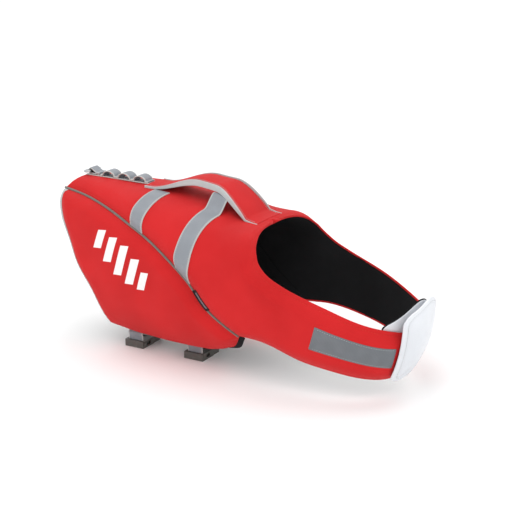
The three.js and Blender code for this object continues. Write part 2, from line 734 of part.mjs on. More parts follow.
function clip(middle) {
  const half = BUCKLE_WIDTH / 2 - 0.5;
  const start = HOUSING_Y + HOUSING_LENGTH + GAP;
  const guide = block([middle - 3, start - 14, 4.4], [middle + 3, start + 1, 7.4]);
  const body = block([middle - half, start, 0.4], [middle + half, start + CLIP_LENGTH, BUCKLE_HEIGHT - 1]);
  const slot = block([middle - STRAP_WIDTH / 2 - 0.2, start - 1, BELLY_Z - WEBBING / 2 - GAP],
    [middle + STRAP_WIDTH / 2 + 0.2, start + CLIP_LENGTH + 1, BELLY_Z + WEBBING / 2 + GAP]);
  const grip = block(
    [middle - STRAP_WIDTH / 2, start + 9, 6], [middle + STRAP_WIDTH / 2, start + 13, BUCKLE_HEIGHT]);
  return cut(join(body, guide), slot, grip);
}

/** One spring prong of the clip, with its barb at the tip. */
function prong(middle, sign) {
  const root = HOUSING_Y + HOUSING_LENGTH - 0.3;
  const tip = root - PRONG_LENGTH;
  const inner = PRONG_OFFSET - PRONG_WIDTH / 2;
  const outer = PRONG_OFFSET + PRONG_WIDTH / 2;
  const outline = [
    [inner, root], [outer, root], [outer, tip + 9], [outer + 2.3, tip + 8], [outer + 2.3, tip + 5.5],
    [inner + 1.5, tip], [inner, tip + 1.5],
  ];
  const shape = new THREE.Shape(outline.map(([x, y]) => new THREE.Vector2(middle + sign * x, y)));
  return new THREE.ExtrudeGeometry(shape, { depth: 4, bevelEnabled: false }).translate(0, 0, 4.2);
}

function bellyBuckle(word, middle) {
  add(`${word}_strap_stub`, stubStrap(middle), WEBBING_GRAY);
  add(`${word}_strap_far`, farStrap(middle), WEBBING_GRAY);
  add(`${word}_buckle_housing`, housing(middle), PLASTIC);
  add(`${word}_buckle_clip`, clip(middle), PLASTIC);
  add(`${word}_buckle_prong_front`, prong(middle, 1), PLASTIC);
  add(`${word}_buckle_prong_rear`, prong(middle, -1), PLASTIC);
}

// ---- Assembly ----

const covers = {};
for (const side of [RIGHT, LEFT]) {
  const armLower = side === RIGHT ? ARM_LOWER_RIGHT : ARM_LOWER_LEFT;
  covers[side] = {
    back: panel("back", side, { upper: SPINE, lower: PIPING, rear: [[REAR_STATION, 0], [REAR_STATION, 19]],
      front: YOKE }, { rear: true, lower: true }),
    side: panel("side", side, { upper: PIPING, lower: BELLY_EDGE, rear: REAR_EDGE, front: SIDE_FRONT },
      { rear: true, lower: true, upper: true, front: true }),
    collar: panel("collar", side, { upper: NECK_EDGE, lower: armLower, rear: YOKE,
      front: [[ARM_END, 99], [ARM_END, armLower.at(-1)[1]]] }, { upper: true, lower: true, front: true }),
  };
  const word = side === RIGHT ? "right" : "left";
  add(`seam_piping_${word}`, piping(side), WEBBING_GRAY);
  add(`rear_binding_${word}`, rearBinding(side), WEBBING_GRAY);
  add(`rear_strap_${word}`, backStrap(covers[side].back, side, REAR_STRAP), WEBBING_GRAY);
  add(`front_strap_${word}`, backStrap(covers[side].back, side, FRONT_STRAP), WEBBING_GRAY);
  add(`reflector_${word}`, reflector(covers[side].collar, side), REFLECTIVE);
  add(`handle_webbing_${word}`, handleWebbing(side), WEBBING_GRAY);
}
add("handle_cover", handleCover(), FABRIC_RED);
add("handle_core", loft(handleLoops(HANDLE_SKIN + GAP, 0.005, 0.995)), FOAM);
add("daisy_base", daisyBase(), WEBBING_GRAY);
add("daisy_loops", daisyArches(), WEBBING_GRAY);
add("ring_tab", ringTab(), WEBBING_GRAY);
add("size_tab", sizeTab(covers[RIGHT].back), LINING_BLACK);
closure(covers[RIGHT].collar);
BELLY_STRAPS.forEach(([word, middle]) => bellyBuckle(word, middle));

const ringPivot = new THREE.Group();
ringPivot.position.set(RING_BAR_X, 0, ringBarZ());
ringPivot.rotation.y = -degToRad(RING_REST_TILT);
jacket.add(ringPivot);
add("leash_ring", leashRing(), STEEL, ringPivot);

// The origin stands under the middle of the whole jacket, at the level of its lowest face.
const extent = new THREE.Box3().setFromObject(jacket);
jacket.position.set(-(extent.min.x + extent.max.x) / 2, -(extent.min.y + extent.max.y) / 2, -extent.min.z);

export default jacket;
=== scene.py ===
"""Dog life jacket: padded red panels, webbing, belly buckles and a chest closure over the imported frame.

Sizes are in millimetres in the part's own axes, and become metres in the row's frame when a mesh is made.
A place on the jacket is a station (along the side, round the chest past 360) and an angle from the spine.
"""

import logging
import math
from collections.abc import Callable
from dataclasses import dataclass, field
from enum import Enum

import bpy
import numpy as np
from mathutils import Matrix, Vector


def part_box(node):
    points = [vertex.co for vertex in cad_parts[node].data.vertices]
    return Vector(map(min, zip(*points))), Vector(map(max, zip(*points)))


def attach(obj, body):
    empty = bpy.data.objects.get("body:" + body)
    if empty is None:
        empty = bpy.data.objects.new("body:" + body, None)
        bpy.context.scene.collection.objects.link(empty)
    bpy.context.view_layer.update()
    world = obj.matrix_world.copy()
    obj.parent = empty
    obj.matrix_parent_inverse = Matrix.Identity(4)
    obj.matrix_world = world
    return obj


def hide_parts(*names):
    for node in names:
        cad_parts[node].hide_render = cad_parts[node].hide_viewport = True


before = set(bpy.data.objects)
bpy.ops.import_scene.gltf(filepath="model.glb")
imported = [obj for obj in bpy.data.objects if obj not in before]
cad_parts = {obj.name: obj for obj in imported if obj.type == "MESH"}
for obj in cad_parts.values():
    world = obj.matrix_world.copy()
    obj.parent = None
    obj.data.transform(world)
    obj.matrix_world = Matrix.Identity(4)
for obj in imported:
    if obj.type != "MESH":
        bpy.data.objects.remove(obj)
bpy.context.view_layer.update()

LOG = logging.getLogger("life_jacket")
MM = 0.001
TAU = 2 * math.pi
BUCKLE_X, BUCKLE_Y, BUCKLE_Z = 228.0, -39.0, 5.5


def frame_shift() -> np.ndarray:
    """Gives what is added to the part's own millimetres to reach the row's frame.

    Returns:
        One shift for x, y and z.
    """
    low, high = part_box("front_buckle_housing")
    centre = (np.array(low) + np.array(high)) / 2 / MM
    return centre - np.array([BUCKLE_X, BUCKLE_Y, BUCKLE_Z])


SHIFT = frame_shift()


class Side(Enum):
    """A side of the dog."""

    RIGHT = -1
    LEFT = 1

    @property
    def word(self) -> str:
        """The side's name in a piece's name."""
        return self.name.lower()


def lerp(a: float | np.ndarray, b: float | np.ndarray, share: float | np.ndarray) -> float | np.ndarray:
    """Mixes a and b by a share of b."""
    return a + (b - a) * share


def smooth(value: float | np.ndarray, low: float, high: float) -> float | np.ndarray:
    """Rises smoothly from 0 at low to 1 at high."""
    share = np.clip((np.asarray(value, float) - low) / (high - low), 0, 1)
    return share * share * (3 - 2 * share)


def unit(vectors: np.ndarray) -> np.ndarray:
    """Brings vectors to length 1."""
    return vectors / np.maximum(np.linalg.norm(vectors, axis=-1, keepdims=True), 1e-9)


def travelled(points: np.ndarray) -> np.ndarray:
    """Gives the length along a line of points, at each of them."""
    return np.concatenate([[0], np.cumsum(np.linalg.norm(np.diff(points, axis=0), axis=1))])


def read_off(where: np.ndarray, length: np.ndarray, rows: np.ndarray) -> np.ndarray:
    """Reads rows of values off at lengths between the ones they were measured at."""
    return np.stack([np.interp(where, length, rows[:, k]) for k in range(rows.shape[1])], -1)


def share_grid(along: np.ndarray, across: np.ndarray) -> list[np.ndarray]:
    """Gives two grids of shares, the first growing along the rows and the second across them."""
    return np.meshgrid(along, across, indexing="ij")


def facing_up(count: int) -> np.ndarray:
    """Gives a row of directions that point straight up."""
    return np.tile([0, 0, 1.0], (count, 1))


# ---------------------------------------------------------------- the form


@dataclass(frozen=True)
class Torso:
    """The egg-shaped form that every panel follows."""

    chest_x: float = 360.0
    chest_reach: float = 212.0
    chest_run: float = 250.0
    rear_half_width: float = 62.0
    chest_half_width: float = 104.0
    middle_z: float = 130.0
    spine_rise: float = 106.0
    spine_drop: float = 12.0
    neck_dip: float = 9.0
    dip_start: float = 128.0
    belly_depth: float = 112.0
    chest_half_height: float = 190.0
    shoulder_power: float = 3.2
    belly_power: float = 2.2
    chest_power: float = 2.5
    neck_station: float = 322.0

    def oval(self, sine: np.ndarray, cosine: np.ndarray, a: np.ndarray, b: np.ndarray,
             power: np.ndarray) -> np.ndarray:
        """Gives the radius of a super-ellipse.

        Args:
            sine, cosine: The direction.
            a, b: Half-axes along the sine and the cosine.
            power: Roundness, 2 for an ellipse.

        Returns:
            The radius in each direction.
        """
        return ((np.abs(sine) / a) ** power + (np.abs(cosine) / b) ** power) ** (-1 / power)

    def point(self, side: Side, station: np.ndarray, angle: np.ndarray) -> np.ndarray:
        """Gives the points of the form at stations and angles.

        Args:
            side: Side of the dog.
            station: Millimetres along the side.
            angle: Degrees from the spine; a negative one crosses to the other side.

        Returns:
            One point to each place.
        """
        station, angle = np.broadcast_arrays(np.asarray(station, float), np.asarray(angle, float))
        before = station <= self.chest_x
        swell = np.sin(math.pi / 2 * np.clip(station / self.chest_x, -0.3, 1))
        turn = np.where(before, 0, math.pi / 2 * (station - self.chest_x) / self.chest_run)
        round_chest = self.oval(np.sin(turn), np.cos(turn), self.chest_reach, self.chest_half_width,
                                self.chest_power)
        width = np.where(before, lerp(self.rear_half_width, self.chest_half_width, swell), round_chest)
        chest = smooth(station, self.chest_x - 30, self.chest_x - 30 + self.chest_run)
        spine = self.spine_rise - self.spine_drop * np.clip(station / self.neck_station, 0, 1) ** 2 \
            - self.neck_dip * smooth(station, self.dip_start, self.neck_station)
        sine, cosine = np.sin(np.radians(angle)), np.cos(np.radians(angle))
        height = lerp(np.where(cosine > 0, spine, self.belly_depth), self.chest_half_height, chest)
        power = np.where(cosine > 0, self.shoulder_power, self.belly_power)
        radius = self.oval(sine, cosine, width, height, power)
        x = np.where(before, station, self.chest_x) + np.where(before, 0, np.sin(turn)) * radius * sine
        y = side.value * np.where(before, 1, np.cos(turn)) * radius * sine
        return np.stack([x, y, self.middle_z + radius * cosine], axis=-1)

    def normal(self, side: Side, station: np.ndarray, angle: np.ndarray) -> np.ndarray:
        """Gives the outward normals of the form at stations and angles.

        Args:
            side: Side of the dog.
            station, angle: The places.

        Returns:
            One unit vector to each place.
        """
        station, angle = np.broadcast_arrays(np.asarray(station, float), np.asarray(angle, float))
        along = self.point(side, station + 0.5, angle) - self.point(side, station - 0.5, angle)
        around = self.point(side, station, angle + 0.5) - self.point(side, station, angle - 0.5)
        return unit(np.cross(along, around) * side.value)

    def above(self, side: Side, station: np.ndarray, angle: np.ndarray, height: np.ndarray) -> np.ndarray:
        """Gives points at a height square to the form."""
        lift = np.asarray(height, float)[..., None]
        return self.point(side, station, angle) + self.normal(side, station, angle) * lift


TORSO = Torso()
ANGLE_SCALE = 1.9


class Outline:
    """A smooth line through places [station, angle], measured by its own length."""

    def __init__(self, *places: tuple[float, float]) -> None:
        """Runs a centripetal curve through the places.

        Args:
            places: Stations and angles that the line passes, in order.
        """
        knots = np.array(places, float) * [1, ANGLE_SCALE]
        knots = np.vstack([2 * knots[0] - knots[1], knots, 2 * knots[-1] - knots[-2]])
        rows = []
        for before, start, end, after in zip(knots, knots[1:], knots[2:], knots[3:]):
            first, middle, last = (math.sqrt(max(np.linalg.norm(b - a), 1e-6))
                                   for a, b in ((before, start), (start, end), (end, after)))
            leave = (start - before) / first - (end - before) / (first + middle) + (end - start) / middle
            reach = (end - start) / middle - (after - start) / (middle + last) + (after - end) / last
            t = np.linspace(0, 1, 60, endpoint=False)[:, None]
            rows.append((2 * t**3 - 3 * t**2 + 1) * start + (t**3 - 2 * t**2 + t) * leave * middle
                        + (3 * t**2 - 2 * t**3) * end + (t**3 - t**2) * reach * middle)
        self.line = np.vstack([*rows, knots[-2:-1]])
        self.length = travelled(self.line)

    def at(self, share: np.ndarray) -> np.ndarray:
        """Gives the places at shares of the line's length, as rows of station and angle.

        Args:
            share: Shares of the length, from 0 to 1.

        Returns:
            One row to each share.
        """
        where = np.asarray(share, float) * self.length[-1]
        station = np.interp(where, self.length, self.line[:, 0])
        angle = np.maximum(np.interp(where, self.length, self.line[:, 1]), 0) / ANGLE_SCALE
        return np.stack([station, angle], axis=-1)

    def angle(self, station: float) -> float:
        """Gives the line's angle where it passes a station."""
        return float(np.interp(station, self.line[:, 0], self.line[:, 1])) / ANGLE_SCALE


REAR, YOKE_X, ARM_END = -14.0, 292.0, 584.0
PIPING = Outline((REAR, 19), (37, 26), (85, 35), (125, 44), (189, 60), (250, 83), (284, 104), (332, 123))
SPINE = Outline((REAR, 0), (YOKE_X, 0))
YOKE = Outline((YOKE_X, 0), (306, 60), (332, 123))
REAR_TOP = Outline((REAR, 0), (REAR, 19))
REAR_EDGE = Outline((REAR, 19), (-14, 28), (-5, 41), (13, 62), (31, 94), (60, 125), (74, 155))
BELLY_EDGE = Outline((74, 155), (141, 157), (205, 155), (276, 150))
SIDE_FRONT = Outline((332, 123), (312, 139), (276, 150))
NECK_EDGE = Outline((YOKE_X, 0), (331, 0), (337, 5), (338, 14), (341, 28), (348, 42), (362, 58), (388, 68),
                    (430, 77), (490, 87.5), (535, 95), (ARM_END, 99))
NECK_START = float(np.interp(338.0, NECK_EDGE.line[:, 0], NECK_EDGE.length) / NECK_EDGE.length[-1]) - 0.04
ARM_LOWER = {
    Side.RIGHT: Outline((332, 123), (384, 123.5), (460, 125), (517, 122), (ARM_END, 119)),
    Side.LEFT: Outline((332, 123), (384, 121), (460, 119), (517, 117), (ARM_END, 116)),
}
ARM_TIP = {side: Outline((ARM_END, 99), (ARM_END, 119 if side is Side.RIGHT else 116)) for side in Side}


# ---------------------------------------------------------------- surfaces and meshes


def eased(steps: int, ease: float = 0.6) -> np.ndarray:
    """Gives shares from 0 to 1 that lie closer together near both ends."""
    even = np.linspace(0, 1, steps + 1)
    return lerp(even, 0.5 - 0.5 * np.cos(math.pi * even), ease)


@dataclass
class Patch:
    """A surface of many places: its points on the form, their normals, and its faces."""

    base: np.ndarray
    normal: np.ndarray
    weave: np.ndarray
    faces: np.ndarray
    places: np.ndarray

    @staticmethod
    def of_grid(base: np.ndarray, normal: np.ndarray, weave: np.ndarray, places: np.ndarray) -> "Patch":
        """Makes a patch from grids of points, normals, weave coordinates and places.

        Args:
            base, normal: Rows by columns by 3.
            weave: Rows by columns by 2, in millimetres along and across the cloth.
            places: Rows by columns by 2.

        Returns:
            The patch, its faces turned the way of its normals.
        """
        rows, columns = base.shape[:2]
        index = np.arange(rows * columns).reshape(rows, columns)
        faces = np.stack([index[:-1, :-1], index[1:, :-1], index[1:, 1:], index[:-1, 1:]], -1).reshape(-1, 4)
        patch = Patch(base.reshape(-1, 3), normal.reshape(-1, 3), weave.reshape(-1, 2), faces,
                      places.reshape(-1, 2))
        corner = patch.base[faces]
        facing = np.cross(corner[:, 2] - corner[:, 0], corner[:, 3] - corner[:, 1])
        if (facing * patch.normal[faces[:, 0]]).sum() < 0:
            patch.faces = faces[:, ::-1]
        return patch

    def joined(self, *others: "Patch") -> "Patch":
        """Sews patches together where their edges meet.

        Args:
            others: The patches that join this one.

        Returns:
            One patch with each shared point once.
        """
        patches = (self, *others)
        base = np.vstack([p.base for p in patches])
        offsets = np.cumsum([0, *(len(p.base) for p in patches[:-1])])
        faces = np.vstack([p.faces + start for p, start in zip(patches, offsets)])
        _, first, same = np.unique(np.round(base, 2), axis=0, return_index=True, return_inverse=True)
        same = same.reshape(-1)
        normals = np.vstack([p.normal for p in patches])
        summed = np.zeros((len(first), 3))
        np.add.at(summed, same, normals)
        weave, places = np.vstack([p.weave for p in patches]), np.vstack([p.places for p in patches])
        return Patch(base[first], unit(summed), weave[first], same[faces], places[first])

    def rim(self) -> np.ndarray:
        """Gives the points of the patch's edge, in order round it.

        Returns:
            Point numbers, in the order that the faces beside them turn.
        """
        ends = {}
        for face in self.faces.tolist():
            for a, b in zip(face, face[1:] + face[:1]):
                ends[a, b] = True
        follow = {a: b for a, b in ends if (b, a) not in ends}
        start = next(iter(follow))
        loop = [start]
        while follow[loop[-1]] != start:
            loop.append(follow[loop[-1]])
        return np.array(loop)

    def outward(self, rim: np.ndarray) -> np.ndarray:
        """Gives the directions that point out of the patch at its edge, in its own surface."""
        along = self.base[np.roll(rim, -1)] - self.base[np.roll(rim, 1)]
        return unit(np.cross(along, self.normal[rim]))


def new_object(name: str, points: np.ndarray, faces: list, weave: np.ndarray | None = None,
               shift: bool = True) -> bpy.types.Object:
    """Makes a mesh object at the origin from points in millimetres.

    Args:
        name: The piece's name.
        points: One row to a vertex.
        faces: Lists of vertex numbers.
        weave: Weave coordinates of each vertex in millimetres, if the piece has them.
        shift: False where the points already stand in the row's frame.

    Returns:
        The object, shaded smooth.
    """
    mesh = bpy.data.meshes.new(name)
    place = (points + SHIFT) * MM if shift else points * MM
    mesh.from_pydata(place.tolist(), [], [list(map(int, face)) for face in faces])
    if weave is not None:
        layer = mesh.uv_layers.new(name="weave")
        corners = np.zeros(len(mesh.loops), np.int32)
        mesh.loops.foreach_get("vertex_index", corners)
        layer.data.foreach_set("uv", weave[corners].astype(np.float32).ravel())
    mesh.shade_smooth()
    mesh.validate()
    piece = bpy.data.objects.new(name, mesh)
    bpy.context.scene.collection.objects.link(piece)
    return piece


ROUND_RIM = ((0.45, 0.88), (0.75, 0.5), (0.45, 0.12))
HEM_RIM = ((0.55, 0.85), (0.95, 0.35), (1.0, -0.25), (0.6, -0.75), (-0.1, -0.95), (-1.5, -0.95))


def shell(name: str, patch: Patch, outer: np.ndarray, inner: np.ndarray, rim: tuple = ROUND_RIM,
          tuck: float = 0.0) -> bpy.types.Object:
    """Makes a closed layer of cloth between two heights over a patch.

    Args:
        name: The piece's name.
        patch: The surface it follows.
        outer, inner: Height of its two faces at each point.
        rim: Steps round its edge, as (distance out, share of the thickness).
        tuck: How far in the inner face ends.

    Returns:
        The object.
    """
    count = len(patch.base)
    outer = np.broadcast_to(outer, count)
    inner = np.broadcast_to(inner, count)
    edge = patch.rim()
    out = patch.outward(edge)
    top = patch.base + patch.normal * outer[:, None]
    bottom = patch.base + patch.normal * inner[:, None]
    bottom[edge] -= out * tuck
    rings = []
    for distance, share in rim:
        height = lerp(inner[edge], outer[edge], share)
        rings.append(patch.base[edge] + out * distance + patch.normal[edge] * height[:, None])
    points = np.vstack([top, bottom, *rings])
    faces = [*patch.faces.tolist(), *(patch.faces[:, ::-1] + count).tolist()]
    size = len(edge)
    loops = [edge, *(np.arange(size) + 2 * count + size * k for k in range(len(rim))), edge + count]
    for high, low in zip(loops, loops[1:]):
        faces += np.stack([high, low, np.roll(low, -1), np.roll(high, -1)], -1).tolist()
    weave = np.vstack([patch.weave, patch.weave, *([patch.weave[edge]] * len(rim))])
    return new_object(name, points, faces, weave)


def tube(name: str, centres: np.ndarray, ups: np.ndarray, radius: float, sides: int = 12) -> bpy.types.Object:
    """Makes a round tube with flat closed ends along a row of points.

    Args:
        name: The piece's name.
        centres: The points it follows.
        ups: A direction square to it at each point.
        radius: Its radius.
        sides: Faces round it.

    Returns:
        The object.
    """
    return sweep(name, centres, ups, [(radius * math.cos(TAU * k / sides), radius * math.sin(TAU * k / sides))
                                      for k in range(sides)])


def sweep(name: str, centres: np.ndarray, ups: np.ndarray, profile: list | np.ndarray) -> bpy.types.Object:
    """Sweeps a closed profile along a row of points.

    Args:
        name: The piece's name.
        centres: The points it follows.
        ups: A direction square to it at each point.
        profile: Points (across, up) of the profile, or one such list to each point.

    Returns:
        The object, with flat closed ends.
    """
    along = unit(np.gradient(centres, axis=0))
    across = unit(np.cross(along, ups))
    square = np.cross(across, along)
    shape = np.array(profile, float)
    shape = np.broadcast_to(shape, (len(centres), *shape.shape[-2:]))
    rings = centres[:, None] + across[:, None] * shape[..., :1] + square[:, None] * shape[..., 1:]
    return loft(name, rings)


def loft(name: str, rings: np.ndarray) -> bpy.types.Object:
    """Joins rings of points into one closed skin.

    Args:
        name: The piece's name.
        rings: Rings by points by 3.

    Returns:
        The object, with weave coordinates along and round it.
    """
    count, sides = rings.shape[:2]
    index = np.arange(count * sides).reshape(count, sides)
    around = np.roll(index, -1, axis=1)
    faces = np.stack([index[:-1], around[:-1], around[1:], index[1:]], -1).reshape(-1, 4).tolist()
    faces += [index[0][::-1].tolist(), index[-1].tolist()]
    points = rings.reshape(-1, 3)
    run = travelled(rings.mean(1))
    girth = np.cumsum(np.linalg.norm(np.diff(rings[count // 2], axis=0, prepend=rings[count // 2][-1:]), axis=1))
    weave = np.stack([np.repeat(run, sides), np.tile(girth, count)], -1)
    corner = points[np.array(faces[:-2])]
    middle = np.repeat(rings[:-1].mean(1), sides, axis=0)
    facing = np.cross(corner[:, 2] - corner[:, 0], corner[:, 3] - corner[:, 1])
    if (facing * (corner.mean(1) - middle)).sum() < 0:
        faces = [face[::-1] for face in faces]
    return new_object(name, points, faces, weave)


# ---------------------------------------------------------------- padding


@dataclass
class Padding:
    """How thick a panel's padding is, falling to nothing at its sewn edges."""

    edges: list[np.ndarray]
    lining: float = 1.0
    cloth: float = 1.5
    full: float = 11.5
    arm_full: float = 8.0
    run: float = 22.0

    def nearest(self, points: np.ndarray) -> tuple[np.ndarray, np.ndarray]:
        """Measures points against the sewn edges.

        Args:
            points: One row to a point.

        Returns:
            The distance to the nearest edge, and the length along the edges there.
        """
        starts = np.vstack([line[:-1] for line in self.edges])
        steps = np.vstack([np.diff(line, axis=0) for line in self.edges])
        lengths = np.linalg.norm(steps, axis=1)
        before = np.concatenate([[0], np.cumsum(lengths)[:-1]])
        inset, along = np.zeros(len(points)), np.zeros(len(points))
        for start in range(0, len(points), 2000):
            part = points[start:start + 2000, None]
            share = np.clip(((part - starts) * steps).sum(-1) / lengths**2, 0, 1)
            distance = np.linalg.norm(starts + steps * share[..., None] - part, axis=-1)
            best = distance.argmin(1)
            rows = np.arange(len(best))
            inset[start:start + 2000] = distance[rows, best]
            along[start:start + 2000] = before[best] + share[rows, best] * lengths[best]
        return inset, along

    def height(self, points: np.ndarray, station: np.ndarray) -> np.ndarray:
        """Gives the height of the cover's outer face over the form.

        Args:
            points: Points on the form.
            station: Their stations.

        Returns:
            One height to each point, with seam puckers and slow waves in the cloth.
        """
        inset, along = self.nearest(points)
        full = lerp(self.full, self.arm_full, smooth(station, 340, 560)) * yoke_share(points)
        pad = full * np.sin(math.pi / 2 * np.minimum(inset / self.run, 1))
        pucker = 0.34 * np.exp(-inset / 6.5) * np.sin(TAU * along / 8.6 + 1.4 * np.sin(along / 31))
        groove = -0.55 * np.exp(-((inset - 4.2) / 1.3) ** 2)
        inside = np.minimum(inset / 9, 1)
        return self.lining + self.cloth + pad + (pucker + groove) * np.minimum(inset / 1.2, 1) \
            + inside * waves(points)


YOKE_THINNING = 0.65
YOKE_RUN = (255, 300)
YOKE_ANGLES = (25, 60)


def yoke_share(points: np.ndarray) -> np.ndarray:
    """Gives how much of the padding is left at points, for it is thin on top of the yoke."""
    angle = np.degrees(np.arctan2(np.abs(points[:, 1]), points[:, 2] - TORSO.middle_z))
    return 1 - YOKE_THINNING * smooth(points[:, 0], *YOKE_RUN) * (1 - smooth(angle, *YOKE_ANGLES))


def waves(points: np.ndarray) -> np.ndarray:
    """Gives slow waves of a few tenths of a millimetre in stretched cloth at points.

    Args:
        points: Points on the form, one row to each.

    Returns:
        One height to each point.
    """
    x, y, z = points.T
    slow = 0.42 * np.sin(0.041 * x + 0.023 * z + 0.9) * np.sin(0.037 * z - 0.019 * x + 0.4)
    drawn = 0.26 * np.sin(0.083 * x - 0.061 * z + 0.7 * np.sin(0.05 * y) + 2.1)
    return slow + drawn * np.sin(0.029 * x + 0.033 * z)


def fill(upper: Outline, lower: Outline, rear: Outline, front: Outline, steps: tuple[int, int],
         seam: tuple[float, float, float, float] = (0, 0, 0, 0)) -> np.ndarray:
    """Fills a four-sided outline with places.

    Args:
        upper, lower: Its long edges.
        rear, front: Its short edges, from the upper to the lower one.
        steps: Steps along and across.
        seam: How far the upper, lower, rear and front edges are held back.

    Returns:
        Rows by columns by (station, angle).
    """
    u, v = eased(steps[0])[:, None, None], eased(steps[1])[None, :, None]
    top, bottom = upper.at(u[:, 0, 0])[:, None], lower.at(u[:, 0, 0])[:, None]
    back, fore = rear.at(v[0, :, 0])[None], front.at(v[0, :, 0])[None]
    corners = lerp(lerp(top[:1], bottom[:1], v), lerp(top[-1:], bottom[-1:], v), u)
    places = lerp(top, bottom, v) + lerp(back, fore, u) - corners
    places[:, 0, 1] += seam[0]
    places[:, -1, 1] -= seam[1]
    places[0, :, 0] += seam[2]
    places[-1, :, 0] -= seam[3]
    return places


def patch_on_form(side: Side, places: np.ndarray) -> Patch:
    """Makes a patch on the form from a grid of places, with its weave running along the stations.

    Args:
        side: Side of the dog.
        places: Rows by columns by (station, angle).

    Returns:
        The patch.
    """
    station, angle = places[..., 0], places[..., 1]
    base = TORSO.point(side, station, angle)
    across = np.linalg.norm(np.diff(base, axis=1, prepend=base[:, :1]), axis=-1)
    girth = np.cumsum(across, axis=1) + places[:, :1, 1] * ANGLE_SCALE
    return Patch.of_grid(base, TORSO.normal(side, station, angle),
                         np.stack([station, side.value * girth], -1), places)


def edge_line(side: Side, outline: Outline, steps: int = 140, start: float = 0.0) -> np.ndarray:
    """Gives an outline's points on the form, for measuring from."""
    places = outline.at(np.linspace(start, 1, steps))
    return TORSO.point(side, places[:, 0], places[:, 1])


# ---------------------------------------------------------------- finishes


class Value:
    """A shader socket that Python's own operators work on."""

    def __init__(self, nodes: "Nodes", socket: bpy.types.NodeSocket) -> None:
        """Wraps a socket of a finish."""
        self.nodes, self.socket = nodes, socket

    def math(self, operation: str, *others: "Value | float", swapped: bool = False) -> "Value":
        """Adds a Math node.

        Args:
            operation: The node's operation.
            others: What it is worked with.
            swapped: True puts this value last.

        Returns:
            The result.
        """
        terms = (*others, self) if swapped else (self, *others)
        node = self.nodes.node("ShaderNodeMath", {"operation": operation}, dict(enumerate(terms)))
        return Value(self.nodes, node.outputs[0])

    def __add__(self, other: "Value | float") -> "Value":
        """Adds."""
        return self.math("ADD", other)

    __radd__ = __add__

    def __sub__(self, other: "Value | float") -> "Value":
        """Subtracts."""
        return self.math("SUBTRACT", other)

    def __rsub__(self, other: float) -> "Value":
        """Subtracts from a number."""
        return self.math("SUBTRACT", other, swapped=True)

    def __mul__(self, other: "Value | float") -> "Value":
        """Multiplies."""
        return self.math("MULTIPLY", other)

    __rmul__ = __mul__

    def __truediv__(self, other: "Value | float") -> "Value":
        """Divides."""
        return self.math("DIVIDE", other)

    def __abs__(self) -> "Value":
        """Drops the sign."""
        return self.math("ABSOLUTE")

    def sine(self) -> "Value":
        """Gives the sine of radians."""
        return self.math("SINE")

    def band(self, low: float, high: float) -> "Value":
        """Rises smoothly from 0 at low to 1 at high, which may be the lesser.

        Args:
            low: Where it is still 0.
            high: Where it reaches 1.

        Returns:
            The result.
        """
        node = self.nodes.node("ShaderNodeMapRange", {"interpolation_type": "SMOOTHSTEP"},
                               {"Value": self, "From Min": low, "From Max": high})
        return Value(self.nodes, node.outputs[0])


Colour = tuple[float, float, float]


def colour(red: int, green: int, blue: int) -> Colour:
    """Turns a screen colour into the linear one that shaders take."""
    return tuple(((c / 255 + 0.055) / 1.055) ** 2.4 if c > 10 else c / 255 / 12.92 for c in (red, green, blue))


